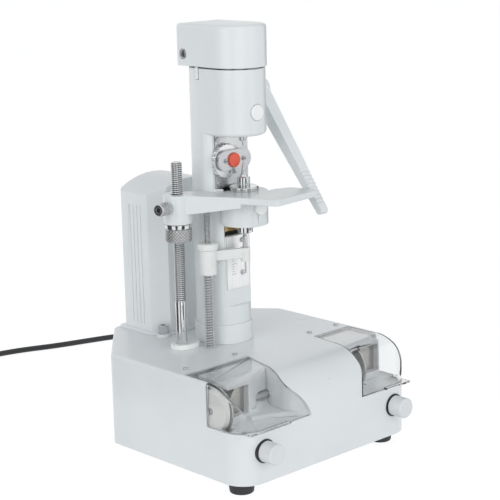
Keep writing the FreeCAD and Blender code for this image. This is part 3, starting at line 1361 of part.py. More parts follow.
def motor_and_belt():
    shaft_bore = s.motor_shaft + s.running_gap
    node("drill_motor", turned("drill_motor", [
        (0, s.motor_bottom),
        (s.motor_radius, s.motor_bottom),
        (s.motor_radius, s.motor_top),
        (s.motor_ledge - s.plate_gap / 2, s.motor_top),
        (s.motor_ledge - s.plate_gap / 2, s.motor_top + s.motor_plate),
        (s.motor_boss, s.motor_top + s.motor_plate),
        (s.motor_boss, s.motor_top + s.motor_plate * 2),
        (shaft_bore, s.motor_top + s.motor_plate * 2),
        (shaft_bore, s.motor_shaft_low),
        (0, s.motor_shaft_low),
    ]))
    low = s.pulley_low
    high = low + s.pulley_width
    rim = (s.pulley_width - s.belt_width - s.belt_gap * 2) / 2
    groove = [
        (s.pulley_radius, low),
        (s.pulley_radius, low + rim),
        (s.pulley_groove, low + rim),
        (s.pulley_groove, high - rim),
        (s.pulley_radius, high - rim),
        (s.pulley_radius, high),
    ]
    node("motor_pulley", turned("motor_pulley", [
        (0, s.motor_shaft_low + 1),
        (s.motor_shaft, s.motor_shaft_low + 1),
        (s.motor_shaft, low - s.pulley_boss),
        (s.pulley_hub, low - s.pulley_boss),
        (s.pulley_hub, low),
    ] + groove + [(0, high)]))
    plate_top = s.head_top + s.bearing_plate
    bore = s.spline_radius + s.running_gap
    node("spindle_pulley", turned("spindle_pulley", [
        (bore, s.head_top - 1),
        (s.pulley_hub, s.head_top - 1),
        (s.pulley_hub, plate_top + s.plate_gap),
        (s.pulley_hub + 2, plate_top + s.plate_gap),
        (s.pulley_hub + 2, low),
    ] + groove + [(bore, high)], (0, -s.drill_y, 0)))
    inner = s.pulley_groove + s.belt_gap
    outer = inner + s.belt_thickness
    belt_low = low + rim + s.belt_gap

    def loop(name, radius, start, height):
        return extruded(name, [
            (-radius, -s.drill_y),
            (radius, -s.drill_y, radius),
            (radius, 0),
            (-radius, 0, radius),
        ], height, (0, 0, start))

    node("drive_belt", cut("drive_belt", loop("belt_outer", outer, belt_low, s.belt_width),
                           loop("belt_inner", inner, belt_low - 1, s.belt_width + 2)))

    edge = s.column_radius - s.bearing_inset
    plate = extruded("bearing_plate_form", [
        (-edge, -s.head_reach),
        (edge, -s.head_reach, edge),
        (edge, 0),
        (-edge, 0, edge),
    ], s.bearing_plate, (0, 0, s.head_top), holes=[
        (0, -s.drill_y, s.pulley_hub + s.running_gap),
        (0, 0, s.motor_boss + s.plate_gap),
    ])
    lug_face = s.cover_half - s.cover_recess - s.cover_seat
    lugs = []
    holes = []
    for side in (-1, 1):
        first, last = (s.lug_root, lug_face) if side > 0 else (-lug_face, -s.lug_root)
        lugs.append(box("cover_lug", (first, s.cover_screw_y - s.lug_half, s.head_top + 1),
                        (last, s.cover_screw_y + s.lug_half, s.cover_screw_z + s.lug_half)))
        holes.append(cylinder("lug_hole", s.base_screw_radius, last - first + 2,
                              (first - 1, s.cover_screw_y, s.cover_screw_z), ALONG_X))
    node("bearing_plate", cut("bearing_plate", fused("bearing_plate_solid", plate, *lugs), *holes))

    def cover_points(inset):
        half = s.cover_half - inset
        rear = s.cover_rear - inset
        radius = s.cover_corner - inset
        return [
            (-half, -s.head_reach),
            (half, -s.head_reach, half),
            (half, rear - radius),
            (half - radius, rear, radius),
            (-(half - radius), rear),
            (-half, rear - radius, radius),
        ]

    low = s.cover_low
    shell = extruded("cover_form", cover_points(0), s.cover_high - low, (0, 0, low))
    rounded(shell, s.cover_round, lambda edge: lies_at(edge, (s.cover_high - s.cover_low).value))
    hollow = extruded("cover_hollow", cover_points(s.cover_wall), s.cover_high - s.cover_wall - low + 1,
                      (0, 0, low - 1))
    rounded(hollow, s.cover_round - s.cover_wall,
            lambda edge: lies_at(edge, (s.cover_high - s.cover_low - s.cover_wall).value + 1))
    seats = []
    recesses = []
    screws = []
    floor = s.cover_half - s.cover_recess
    for side in (-1, 1):
        first, last = (lug_face, s.cover_half - 1) if side > 0 else (-(s.cover_half - 1), -lug_face)
        seats.append(cylinder("cover_boss", s.cover_boss, last - first,
                              (first, s.cover_screw_y, s.cover_screw_z), ALONG_X))
        start = floor if side > 0 else -(s.cover_half + 1)
        recesses.append(cylinder("cover_recess_cut", s.cover_screw_radius, s.cover_recess + 1,
                                 (start, s.cover_screw_y, s.cover_screw_z), ALONG_X))
        start = lug_face - 1 if side > 0 else -(floor + 1)
        recesses.append(cylinder("cover_hole", s.base_screw_radius, s.cover_seat + 2,
                                 (start, s.cover_screw_y, s.cover_screw_z), ALONG_X))
        outward = Rotation(Vector(0, 1, 0), 90 * side)
        screws.append(machine_screw("cover_screw", (side * floor, s.cover_screw_y, s.cover_screw_z),
                                    outward))
    locating = cylinder("locating_pin", s.locating_radius, s.cover_low + s.cover_wall * 2 - s.locating_low,
                        (-s.locating_x, -s.locating_y, s.locating_low))
    shell_cut = cut("cover_shell", shell, hollow)
    cover = cut("belt_cover", fused("cover_solid", shell_cut, locating, *seats), *recesses)
    node("belt_cover", cover)
    return screws


# Quill, spindle and feed


def quill_and_spindle():
    at = (0, -s.drill_y, 0)
    bore = s.spindle_radius + s.running_gap
    body = turned("quill_form", [
        (bore, s.quill_bottom),
        (s.quill_radius, s.quill_bottom),
        (s.quill_radius, s.quill_top - s.collar_height),
        (s.collar_radius, s.quill_top - s.collar_height),
        (s.collar_radius, s.quill_top),
        (bore, s.quill_top),
        (bore, s.quill_top - s.bush_length),
        (s.quill_waist, s.quill_top - s.bush_length),
        (s.quill_waist, s.quill_bottom + s.bush_length),
        (bore, s.quill_bottom + s.bush_length),
    ], at)
    pin_z = s.quill_top - s.collar_height / 2
    end = s.crank_x + s.crank_thickness + s.pin_stub
    pin = cylinder("drive_pin", s.pin_radius, end - s.quill_radius, (s.quill_radius, -s.drill_y, pin_z),
                   ALONG_X)
    node("quill", fused("quill", body, pin))
    spindle_top = s.quill_top + 0.5
    nose = s.quill_bottom - 0.5
    node("spindle", turned("spindle", [
        (s.bit_radius, s.chuck_bottom),
        (s.chuck_radius - 0.8, s.chuck_bottom),
        (s.chuck_radius, s.chuck_bottom + 2),
        (s.chuck_radius, nose),
        (s.spindle_radius, nose),
        (s.spindle_radius, spindle_top),
        (s.spline_radius, spindle_top),
        (s.spline_radius, s.spindle_top),
        (0, s.spindle_top),
        (0, s.chuck_bottom + s.bit_grip),
        (s.bit_radius, s.chuck_bottom + s.bit_grip),
    ], at))
    node("drill_bit", turned("drill_bit", [
        (0, s.bit_bottom),
        (s.bit_radius, s.bit_bottom + s.bit_radius),
        (s.bit_radius, s.chuck_bottom + s.bit_grip),
        (0, s.chuck_bottom + s.bit_grip),
    ], at))


def feed():
    rise = s.quill_top - s.collar_height / 2 - s.lever_z
    rest_angle = math.degrees(math.atan2(rise.value, (s.drill_y + s.lever_y).value))
    turn = Rotation(Vector(1, 0, 0), 180 - rest_angle) * SIDE_VIEW
    reach = s.drill_y + s.lever_y
    at = (s.crank_x, s.lever_y, s.lever_z)
    tip = reach + s.crank_tip
    arm = extruded("crank_arm", [
        (0, -s.crank_radius, s.crank_radius),
        (tip, -s.crank_end),
        (tip, s.crank_end, s.crank_end),
        (0, s.crank_radius),
    ], s.crank_thickness, at, turn)
    slot_half = s.pin_radius + s.pin_play
    slot = extruded("crank_slot", [
        (reach - s.slot_play, -slot_half, slot_half),
        (reach + s.slot_play + 0.8, -slot_half),
        (reach + s.slot_play + 0.8, slot_half, slot_half),
        (reach - s.slot_play, slot_half),
    ], s.crank_thickness + 2, (s.crank_x - 1, s.lever_y, s.lever_z), turn)
    shaft = cylinder("feed_shaft", s.feed_shaft_radius, s.lever_x + s.lever_root_width - 1 - s.crank_x,
                     at, ALONG_X)
    node("feed_crank", cut("feed_crank", fused("crank_solid", arm, shaft), slot))

    dip = math.radians(s.lever_angle.value)
    ahead = Vector(0, -math.cos(dip), -math.sin(dip))
    below = Vector(0, math.sin(dip), -math.cos(dip))
    turn = Rotation(Vector(1, 0, 0), s.lever_angle.value - 180) * SIDE_VIEW
    at = (s.lever_x, s.lever_y, s.lever_z)
    end = s.lever_length - s.lever_tip_depth / 2
    arm = extruded("lever_arm", [
        (0, -s.lever_root_depth / 2),
        (end, -s.lever_tip_depth / 2),
        (end, s.lever_tip_depth / 2, s.lever_tip_depth / 2),
        (0, s.lever_root_depth / 2),
    ], s.lever_root_width, at, turn)
    reach = s.lever_root_depth
    flank = Rotation(ahead, Vector(1, 0, 0), ahead.cross(Vector(1, 0, 0)), "XYZ")
    taper = extruded("lever_taper", [
        (-reach, 0),
        (s.lever_length + 1, 0),
        (s.lever_length + 1, s.lever_tip_width),
        (reach, s.lever_root_width),
        (-reach, s.lever_root_width),
    ], reach * 2, (s.lever_x, s.lever_y + reach * below.y, s.lever_z + reach * below.z), flank)
    hub = cylinder("lever_hub", s.lever_hub, s.lever_root_width, at, ALONG_X)
    tools = [cylinder("lever_bore", s.feed_shaft_radius, s.lever_root_width - 1, at, ALONG_X)]
    for step in range(9):
        along = s.lever_length - s.grip_end - s.grip_pitch * step
        out = s.lever_tip_depth / 2 + s.grip_lift + s.grip_slope * step
        centre = (s.lever_x - 1, s.lever_y + along * ahead.y - out * below.y,
                  s.lever_z + along * ahead.z - out * below.z)
        tools.append(cylinder(f"grip_{step + 1}", s.grip_radius, s.lever_root_width + 2, centre, ALONG_X))
    lever = fused("lever_solid", shared("lever_form", arm, taper), hub)
    node("feed_lever", cut("feed_lever", lever, *tools))


# Lens stop in the throat


def scalloped_points(radius, count, depth):
    """A round outline with a hollow for each finger step."""
    step = 2 * math.pi / count
    chord = 2 * math.sin(step / 2) * radius.value
    bow = (chord * chord / 4 + depth * depth) / (2 * depth)
    return [(radius * math.cos(step * turn), radius * math.sin(step * turn), -radius * (bow / radius.value))
            for turn in range(count)]


def lens_stop():
    face = s.throat_flat + s.throat_plate
    half = s.throat_half
    holes = [(side * s.throat_screw_x, height, s.small_screw_radius) for side in (-1, 1)
             for height in (s.throat_screw_low, s.throat_screw_high)]
    holes.append((-s.dial_x, s.dial_z, s.stem_radius + s.running_gap))
    node("throat_plate", extruded("throat_plate", [
        (-half, s.throat_low + s.plate_gap),
        (half, s.throat_low + s.plate_gap),
        (half, s.head_bottom - s.plate_gap),
        (-half, s.head_bottom - s.plate_gap),
    ], s.throat_plate, (0, -s.throat_flat, 0), FRONT_VIEW, holes))
    dial = extruded("stop_dial_form", scalloped_points(s.dial_radius, 24, 1.0), s.dial_thickness,
                    (-s.dial_x, -(face + s.dial_gap), s.dial_z), FRONT_VIEW)
    bore = cylinder("stop_dial_bore", s.stem_radius + s.running_gap, s.dial_thickness + 2,
                    (-s.dial_x, -(face + s.dial_gap - 1), s.dial_z), TO_FRONT)
    node("stop_dial", cut("stop_dial", dial, bore))
    back = face + s.dial_gap + s.dial_thickness + s.bar_gap
    front = back + s.bar_thickness
    bar = extruded("stop_bar_form", [
        (-s.bar_left, s.bar_z - s.bar_radius, s.bar_radius),
        (s.bar_right, s.bar_z - s.bar_radius),
        (s.bar_right, s.bar_z + s.bar_radius, s.bar_radius),
        (-s.bar_left, s.bar_z + s.bar_radius),
    ], s.bar_thickness, (0, -back, 0), FRONT_VIEW)
    lug = box("stop_bar_lug", (-s.lug_left, -front, s.bar_z - s.bar_radius - s.lug_drop),
              (s.lug_right, -back, s.bar_z - s.bar_radius + 1))
    stem = cylinder("stop_stem", s.stem_radius, back + 1 - s.stem_back,
                    (-s.dial_x, -s.stem_back, s.dial_z), TO_FRONT)
    heads = []
    slots = []
    for x in (-s.bar_left, s.bar_right):
        heads.append(cylinder("bar_screw", s.bar_screw_radius, s.bar_screw_height + 1,
                              (x, -(front - 1), s.bar_z), TO_FRONT))
        slots.append(box("bar_screw_slot",
                         (x - s.bar_screw_radius, -(front + s.bar_screw_height + 1), s.bar_z - 0.35),
                         (x + s.bar_screw_radius, -(front + s.bar_screw_height / 2), s.bar_z + 0.35)))
    seat = cylinder("button_seat", s.button_radius + s.running_gap, s.button_seat + 1,
                    (-s.button_x, -(front - s.button_seat), s.bar_z), TO_FRONT)
    node("stop_bar", cut("stop_bar", fused("stop_bar_solid", bar, lug, stem, *heads), seat, *slots))
    rear = front - s.button_seat + s.button_travel + s.running_gap * 2
    node("stop_button", turned("stop_button", [
        (0, 0),
        (s.button_radius, 0),
        (s.button_radius, s.button_height - 0.6),
        (s.button_radius - 0.6, s.button_height, 0.6),
        (0, s.button_height),
    ], (-s.button_x, -rear, s.bar_z), TO_FRONT))


# Post, table and lens rest


def post_and_nut():
    at = (-s.post_x, s.post_y, 0)
    node("post", turned("post", [
        (0, s.post_low),
        (s.post_radius, s.post_low),
        (s.post_radius, s.post_top - s.post_round),
        (s.post_radius - s.post_round, s.post_top, s.post_round),
        (0, s.post_top),
    ], at))
    radius = s.foot_flange_radius
    node("post_flange", extruded("post_flange", [
        (-s.post_x, s.post_y - radius, radius),
        (-s.post_x + s.foot_flange_length, s.post_y - radius),
        (-s.post_x + s.foot_flange_length, s.post_y + radius, radius),
        (-s.post_x, s.post_y + radius),
    ], s.foot_flange_height, (0, 0, s.plateau), holes=[(-s.post_x, s.post_y, s.post_radius)]))
    bore = s.post_radius + s.running_gap
    low = s.nut_bottom
    knurl_top = low + s.nut_height
    node("height_nut", turned("height_nut", [
        (bore, low),
        (s.nut_radius - 1, low),
        (s.nut_radius, low + 1),
        (s.nut_radius, knurl_top - 0.6),
        (s.neck_radius - 0.8, knurl_top),
        (s.neck_radius, knurl_top + 0.8),
        (s.neck_radius, knurl_top + s.neck_height - 1),
        (s.neck_radius - 1, knurl_top + s.neck_height),
        (bore, knurl_top + s.neck_height),
    ], at))


def lens_table():
    top = s.table_top
    wing_low = top - s.wing_thickness
    wing = extruded("table_wing", [
        (-s.wing_a_x, -s.wing_a_y),
        (-s.wing_b_x - 1.3, -s.wing_b_y + 4.2),
        (-s.wing_b_x + 4.4, -s.wing_b_y + 0.6, 4.5),
        (s.wing_c_x - 3.4, -s.wing_c_y - 0.4),
        (s.wing_c_x - 0.8, -s.wing_c_y + 3.2, 3.2),
        (s.wing_d_x + 2.2, -s.wing_d_y - 7.0),
        (s.wing_d_x - 6.6, -s.wing_d_y + 2.2, 9.0),
        (s.wing_e_x, -s.wing_e_y),
        (0, -s.wing_e_y),
        (0, -s.drill_y),
        (-s.hub_radius + 3, -s.drill_y),
    ], s.wing_thickness, (0, 0, wing_low))
    hub = cylinder("table_hub", s.hub_radius, top - s.hub_bottom, (0, -s.drill_y, s.hub_bottom))
    boss = cylinder("table_clamp", s.clamp_radius, top - s.clamp_bottom,
                    (-s.post_x, s.post_y, s.clamp_bottom))
    arm = extruded("table_arm_slab", [
        (-s.post_x - 1.6, s.post_y - s.clamp_radius + 0.1),
        (-s.wing_a_x, -s.wing_a_y),
        (-s.hub_radius / 2, -s.wing_a_y + 8),
        (-s.hub_radius / 2, -s.drill_y),
        (-s.arm_back_a, -s.arm_back_a_y),
        (-s.arm_back_b, -s.arm_back_b_y),
        (-s.post_x + s.clamp_radius, s.post_y + 4),
        (-s.post_x, s.post_y + 4),
    ], s.arm_thickness + 1, (0, 0, top - s.arm_thickness - 1))
    tilt = Rotation(Vector(-0.875, -0.485, 0), s.arm_slope.value)
    under = turned("table_arm_underside", [
        (0, -s.arm_thickness),
        (s.base_half, -s.arm_thickness),
        (s.base_half, 0),
        (0, 0),
    ], (-s.post_x - 1.6, s.post_y - s.clamp_radius, top - s.arm_thickness), tilt)
    clear = s.column_radius + s.column_gap
    wide = s.base_half
    column_room = cylinder("column_room", clear, top - s.hub_bottom + 20, (0, 0, s.hub_bottom - 10))
    flat = box("column_flat", (-wide, -wide, s.hub_bottom - 15), (wide, -(s.facet + s.column_gap), top + 15))
    solid = fused("table_solid", wing, hub, boss, cut("table_arm_form", arm, under))
    spin = Rotation(Vector(0, 0, 1), 180 + s.lock_tilt.value) * ALONG_X
    post_at = (-s.post_x, s.post_y, s.lock_z)
    node("table_arm", cut(
        "table_arm", solid,
        cut("column_space", column_room, flat),
        cylinder("table_post_bore", s.post_radius + s.running_gap, top,
                 (-s.post_x, s.post_y, s.clamp_bottom - 10)),
        cylinder("table_rod_room", s.rod_radius + s.rod_play, s.rod_top + s.rod_headroom - s.clamp_bottom,
                 (-s.rod_x, -s.rod_y, s.clamp_bottom)),
        cylinder("rest_bore", s.rest_shank, top - s.hub_bottom + 2, (0, -s.drill_y, s.hub_bottom - 1)),
        cylinder("lock_bore", s.lock_shank + s.running_gap, s.lock_start, post_at, spin),
        cylinder("hub_cap_seat", s.hub_cap_radius + s.running_gap, 8,
                 (0, -(s.drill_y + s.hub_radius - s.hub_cap_seat), s.hub_cap_z), TO_FRONT)))
    head = turned("lock_screw_form", [
        (0, s.post_radius + s.running_gap * 2),
        (s.lock_shank, s.post_radius + s.running_gap * 2),
        (s.lock_shank, s.lock_start),
        (s.lock_radius, s.lock_start),
        (s.lock_radius, s.lock_end - 0.8),
        (s.lock_radius - 0.8, s.lock_end),
        (0, s.lock_end),
    ], post_at, spin)
    angle = math.radians(180 + s.lock_tilt.value)
    socket_start = s.lock_end - s.lock_socket_depth
    socket_at = (-s.post_x + socket_start * math.cos(angle), s.post_y + socket_start * math.sin(angle),
                 s.lock_z)
    node("lock_screw", cut("lock_screw", head, hexagon("lock_socket", s.lock_socket, s.lock_socket_depth + 1,
                                                       socket_at, spin)))
    node("hub_cap", turned("hub_cap", [
        (0, 0),
        (s.hub_cap_radius, 0),
        (s.hub_cap_radius, s.hub_cap_height - 1.2),
        (s.hub_cap_radius - 1.2, s.hub_cap_height, 1.2),
        (0, s.hub_cap_height),
    ], (0, -(s.drill_y + s.hub_radius - s.hub_cap_seat), s.hub_cap_z), TO_FRONT))
    node("brass_key", box("brass_key", (-s.key_half, -(s.facet + s.column_gap), s.key_low),
                          (s.key_half, -(s.slot_back + s.column_gap), s.key_high)))
    axis = (0, -s.drill_y, 0)
    node("lens_rest", turned("lens_rest", [
        (s.pin_body_radius + s.plate_gap, s.rest_bottom),
        (s.rest_shank, s.rest_bottom),
        (s.rest_shank, top),
        (s.rest_flange, top),
        (s.rest_flange, top + s.rest_flange_height - 0.8),
        (s.rest_flange - 0.8, top + s.rest_flange_height),
        (s.rest_radius, top + s.rest_flange_height),
        (s.rest_radius, s.rest_neck_top),
        (s.rest_cone_radius, s.rest_neck_top),
        (s.rest_waist_radius, s.rest_waist),
        (s.rest_tip_radius, s.rest_tip),
        (s.needle_radius + s.needle_gap, s.rest_tip),
        (s.needle_radius + s.needle_gap, s.rest_neck_top - 2),
        (s.pin_shaft_radius + s.plate_gap, s.rest_neck_top - 2),
        (s.pin_shaft_radius + s.plate_gap, s.hub_bottom),
        (s.pin_body_radius + s.plate_gap, s.hub_bottom),
    ], axis))
    collar = tube("hub_collar_form", s.ring_radius, s.rest_shank, s.hub_bottom - s.ring_height,
                  s.hub_bottom, axis)
    node("hub_collar", cut("hub_collar", collar, cylinder(
        "set_screw_hole", s.set_screw_radius, s.ring_radius + 1,
        (0, -(s.drill_y + s.rest_shank), s.hub_bottom - s.ring_height / 2), TO_FRONT)))


# Centring pin and its guide


def winding(turns, radius_at, height_at, way=1):
    """Smooth arcs through the points of a winding, four steps to a turn."""
    count = int(round(turns * 4))
    small = 1e-4

    def point(turn):
        angle = 2 * math.pi * turn * way
        radius = radius_at(turn)
        return Vector(radius * math.cos(angle), radius * math.sin(angle), height_at(turn))

    def tangent(turn):
        first = max(turn - small, 0)
        last = min(turn + small, turns)
        return (point(last) - point(first)).normalize()

    edges = []
    for index in range(count):
        first = turns * index / count
        last = turns * (index + 1) / count
        edges += biarc(point(first), tangent(first), point(last), tangent(last))
    samples = [point(turns * index / (count * 6)) for index in range(count * 6 + 1)]
    return edges, samples


def biarc(start, start_way, end, end_way):
    """Two arcs that join two points and keep both directions."""
    chord = end - start
    both = start_way + end_way
    along = chord.dot(both)
    bend = 2 * (1 - start_way.dot(end_way))
    reach = (-along + math.sqrt(along * along + bend * chord.dot(chord))) / bend
    middle = (start + end + (start_way - end_way) * reach) / 2

    def arc(first, way, last):
        corner_point = first + way * reach
        half = (last - first).normalize().dot(way)
        peak = (first + last + corner_point * (2 * half)) / (2 + 2 * half)
        return Part.Arc(first, peak, last).toShape()

    return [arc(start, start_way, middle), arc(end, -end_way, middle)]


def wound_tube(edges, wire_radius, way):
    start = edges[0].valueAt(edges[0].FirstParameter)
    section = Part.Wire([Part.Circle(start, way, wire_radius).toShape()])
    return Part.Wire(edges).makePipeShell([section], True, False)


def least_gap(samples, wire_radius, skip):
    least = min((samples[i] - samples[j]).Length
                for i in range(len(samples)) for j in range(i + skip, len(samples)))
    return least - 2 * wire_radius


def shaped(name, shape):
    piece = DOC.addObject("Part::Feature", name)
    piece.Shape = shape
    return piece


def spring(name, radius, wire, low, high, turns, at):
    """A coil spring with closed ends, between two seats."""
    radius, wire, low, high = radius.value, wire.value, low.value + wire.value, high.value - wire.value
    closed = 1.0
    dead = wire * 2 + 0.45
    pitch = (high - low - 2 * dead * closed) / (turns - 2 * closed)

    def height_at(turn):
        if turn < closed:
            return low + dead * turn
        if turn > turns - closed:
            return high - dead * (turns - turn)
        return low + dead * closed + pitch * (turn - closed)

    edges, samples = winding(turns, lambda turn: radius, height_at)
    first = edges[0]
    way = first.tangentAt(first.FirstParameter)
    piece = shaped(name, wound_tube(edges, wire, way))
    print(f"{name}: least gap between turns {least_gap(samples, wire, 18):.2f} mm")
    return place(piece, at)


def guide():
    at = (-s.rod_x, -s.rod_y, 0)
    node("guide_rod", turned("guide_rod", [
        (0, s.rod_low),
        (s.rod_radius, s.rod_low),
        (s.rod_radius, s.rod_top - 0.8),
        (s.rod_radius - 0.8, s.rod_top),
        (0, s.rod_top),
    ], at))
    bore = s.rod_radius + s.running_gap
    node("stop_nut", turned("stop_nut", [
        (bore, s.stop_nut_bottom),
        (s.stop_nut_radius - 0.7, s.stop_nut_bottom),
        (s.stop_nut_radius, s.stop_nut_bottom + 0.7),
        (s.stop_nut_radius, s.stop_nut_bottom + s.stop_nut_height - 0.7),
        (s.stop_nut_radius - 0.7, s.stop_nut_bottom + s.stop_nut_height),
        (bore, s.stop_nut_bottom + s.stop_nut_height),
    ], at))
    collar = cylinder("slider_collar", s.slider_radius, s.slider_top - s.slider_bottom, (-s.rod_x, -s.rod_y,
                                                                                       s.slider_bottom))
    run = square_root(s.rod_x * s.rod_x + (s.drill_y - s.rod_y) * (s.drill_y - s.rod_y))
    slant = math.degrees(math.atan2(-(s.drill_y - s.rod_y).value, s.rod_x.value))
    half = s.pin_arm_thickness / 2
    arm = extruded("slider_arm", [
        (0, -half),
        (run, -half),
        (run, half),
        (0, half),
    ], s.pin_arm_high - s.pin_arm_low, (-s.rod_x, -s.rod_y, s.pin_arm_low), Rotation(Vector(0, 0, 1), slant))
    bush = cylinder("slider_bush", s.bush_radius, s.needle_step - s.bush_bottom,
                    (0, -s.drill_y, s.bush_bottom))
    node("slider", cut(
        "slider", fused("slider_solid", collar, arm, bush),
        cylinder("slider_bore", bore, s.slider_top, (-s.rod_x, -s.rod_y, s.slider_bottom - 10)),
        cylinder("needle_hole", s.needle_radius, s.slider_top, (0, -s.drill_y, s.bush_bottom - 10))))
    node("centring_pin", turned("centring_pin", [
        (0, s.needle_tail),
        (s.needle_radius, s.needle_tail),
        (s.needle_radius, s.needle_step),
        (s.pin_body_radius, s.needle_step),
        (s.pin_body_radius, s.needle_step + s.pin_body_length),
        (s.pin_shaft_radius, s.needle_step + s.pin_body_length + 2),
        (s.pin_shaft_radius, s.rest_neck_top - s.pin_shaft_drop),
        (s.needle_radius, s.rest_neck_top - s.pin_shaft_drop + 1),
        (s.needle_radius, s.needle_tip - s.needle_radius * 2),
        (0, s.needle_tip),
    ], (0, -s.drill_y, 0)))
    node("pin_spring", spring("pin_spring", s.coil_radius, s.wire_radius, s.plateau + 0.05,
                              s.slider_bottom - 0.05, 28, at))
    node("quill_spring", spring("quill_spring", s.quill_spring_radius, s.quill_wire, s.spring_seat + 0.05,
                                s.quill_top - s.collar_height - 0.05, 7, (0, -s.drill_y, 0)))
    half = s.scale_half
    node("scale_plate", extruded("scale_plate", [
        (-half, s.scale_low),
        (half, s.scale_low),
        (half, s.scale_high),
        (-half, s.scale_high),
    ], s.scale_thickness, (0, -s.facet, 0), FRONT_VIEW, [
        (s.scale_screw_x, s.scale_screw_low, s.small_screw_radius),
        (s.scale_screw_x, s.scale_screw_high, s.small_screw_radius),
    ]))


# Mains cord


def cord_path(points):
    """Straight runs joined by arcs, each arc as large as its two runs allow."""
    points = [Vector(*point) for point in points]
    edges = []
    here = points[0]
    radii = []
    for before, bend, after in zip(points, points[1:], points[2:]):
        into = (bend - before).normalize()
        away = (after - bend).normalize()
        half_turn = math.acos(max(-1.0, min(1.0, into.dot(away)))) / 2
        tangent = 0.45 * min((bend - before).Length, (after - bend).Length)
        radius = tangent / math.tan(half_turn)
        radii.append(radius)
        first = bend - into * tangent
        last = bend + away * tangent
        peak_way = (away - into).normalize()
        peak = bend + peak_way * (radius / math.cos(half_turn) - radius)
        edges.append(Part.LineSegment(here, first).toShape())
        edges.append(Part.Arc(first, peak, last).toShape())
        here = last
    edges.append(Part.LineSegment(here, points[-1]).toShape())
    return edges, radii


def cord(name, points):
    edges, radii = cord_path(points)
    start = Vector(*points[0])
    way = (Vector(*points[1]) - start).normalize()
    solid = wound_tube(edges, s.cord_radius.value, way)
    length = sum(edge.Length for edge in edges)
    share = solid.Volume / (math.pi * s.cord_radius.value ** 2 * length)
    print(f"{name}: length {length:.0f} mm, volume share {share:.4f}, radii",
          " ".join(f"{radius:.0f}" for radius in radii))
    return shaped(name, solid)


def mains_cord():
    lie = s.cord_radius.value
    start = Vector(s.gland_x.value, (s.base_rear + s.gland_reach).value, s.gland_z.value)
    middle = Vector(-75, 455, lie)
    outer = 38.0
    pitch = 7.2
    turns = 5.0

    def radius_at(turn):
        return outer - pitch * min(turn, turns - turn)

    def height_at(turn):
        climb = min(max((turn - 2.25) / 0.5, 0.0), 1.0)
        return pitch * climb * climb * (3 - 2 * climb)

    edges, samples = winding(turns, radius_at, height_at, -1)
    print(f"cord_coil: least gap between turns {least_gap(samples, lie, 16):.2f} mm")
    way = edges[0].tangentAt(edges[0].FirstParameter)
    quarter = Rotation(Vector(0, 0, 1), -90)
    coil = place(shaped("cord_coil", wound_tube(edges, lie, way)), middle, quarter)
    arrive = quarter.multVec(way)
    leave = quarter.multVec(-edges[-1].tangentAt(edges[-1].FirstParameter))
    entry = middle + quarter.multVec(Vector(outer, 0, 0))
    last = entry + Vector(0, 0, pitch)

    steps = [(0, 26, -1), (8, 56, -20), (30, 86, 1 - start.z + lie), (70, 116, lie - start.z),
             (115, 141, lie - start.z), (147, 173, lie - start.z), (149, 210, lie - start.z),
             (126, 236, lie - start.z), (84, 249, lie - start.z), (38, 262, lie - start.z),
             (-4, 280, lie - start.z), (-50, 289, lie - start.z)]
    route = [start] + [start + Vector(*step) for step in steps] + [entry - arrive * 24, entry]
    node("mains_cord", cord("mains_cord", route))
    node("cord_coil", coil)
    tail_end = last + leave * 22 + Vector(-47, 9, s.plug_axis.value - last.z)
    tail = [last, last + leave * 22, last + leave * 22 + Vector(-23, 2, s.plug_axis.value - last.z),
            tail_end]
    node("cord_tail", cord("cord_tail", tail))
    heading = (tail[3] - tail[2]).normalize()
    turn = Rotation(Vector(0, 0, 1), math.degrees(math.atan2(heading.y, heading.x)))
    plug = extruded("plug_body", [
        (0, -s.plug_neck),
        (s.plug_taper, -s.plug_neck - 1),
        (s.plug_taper + 6, -s.plug_half),
        (s.plug_length, -s.plug_half),
        (s.plug_length, s.plug_half),
        (s.plug_taper + 6, s.plug_half),
        (s.plug_taper, s.plug_neck + 1),
        (0, s.plug_neck),
    ], (s.plug_axis - 0.3) * 2, (tail_end.x, tail_end.y, 0.3), turn)
    node("plug_body", plug)
    pins = []
    for side in (-1, 1):
        offset = turn.multVec(Vector(s.plug_length.value, side * s.plug_pin_spread.value, 0))
        pins.append(cylinder("plug_pin", s.plug_pin_radius, s.plug_pin_length,
                             (tail_end.x + offset.x, tail_end.y + offset.y, s.plug_axis), turn * ALONG_X))
    node("plug_pins", group("plug_pins", pins))
    node("cord_gland", turned("cord_gland", [
        (0, -s.base_wall * 2),
        (s.gland_neck, -s.base_wall * 2),
        (s.gland_neck, 0),
        (s.gland_radius, 0),
        (s.gland_radius, s.gland_collar),
        (s.gland_neck - 0.5, s.gland_collar + 1),
        (s.cord_radius + 1, s.gland_reach),
        (0, s.gland_reach),
    ], (s.gland_x, s.base_rear, s.gland_z), TO_BACK))


base_casing()
machine_screws = bottom_plate_and_feet()
left_tray()
right_tray()
guide_plates()
node("shield_pins", group("shield_pins", [shield(LEFT), shield(RIGHT)]))
disc_drive()
front_knobs()
rear_housing()
column()
machine_screws += motor_and_belt()
node("machine_screws", group("machine_screws", machine_screws))
quill_and_spindle()
feed()
lens_stop()
post_and_nut()
lens_table()
guide()
mains_cord()

DOC.recompute()
failed = [item.Name for item in DOC.Objects if set(item.State) & {"Invalid", "Error"}]
if failed:
    raise RuntimeError(f"These features failed: {', '.join(failed)}")
for label, item in NODES.items():
    if item.Shape.isNull() or not item.Shape.isValid() or not item.Shape.Solids:
        raise RuntimeError(f"{label} has no valid solid")
os.makedirs("parts", exist_ok=True)
for label, item in NODES.items():
    item.Shape.exportStep(f"parts/{label}.step")
print(len(NODES), "pieces")
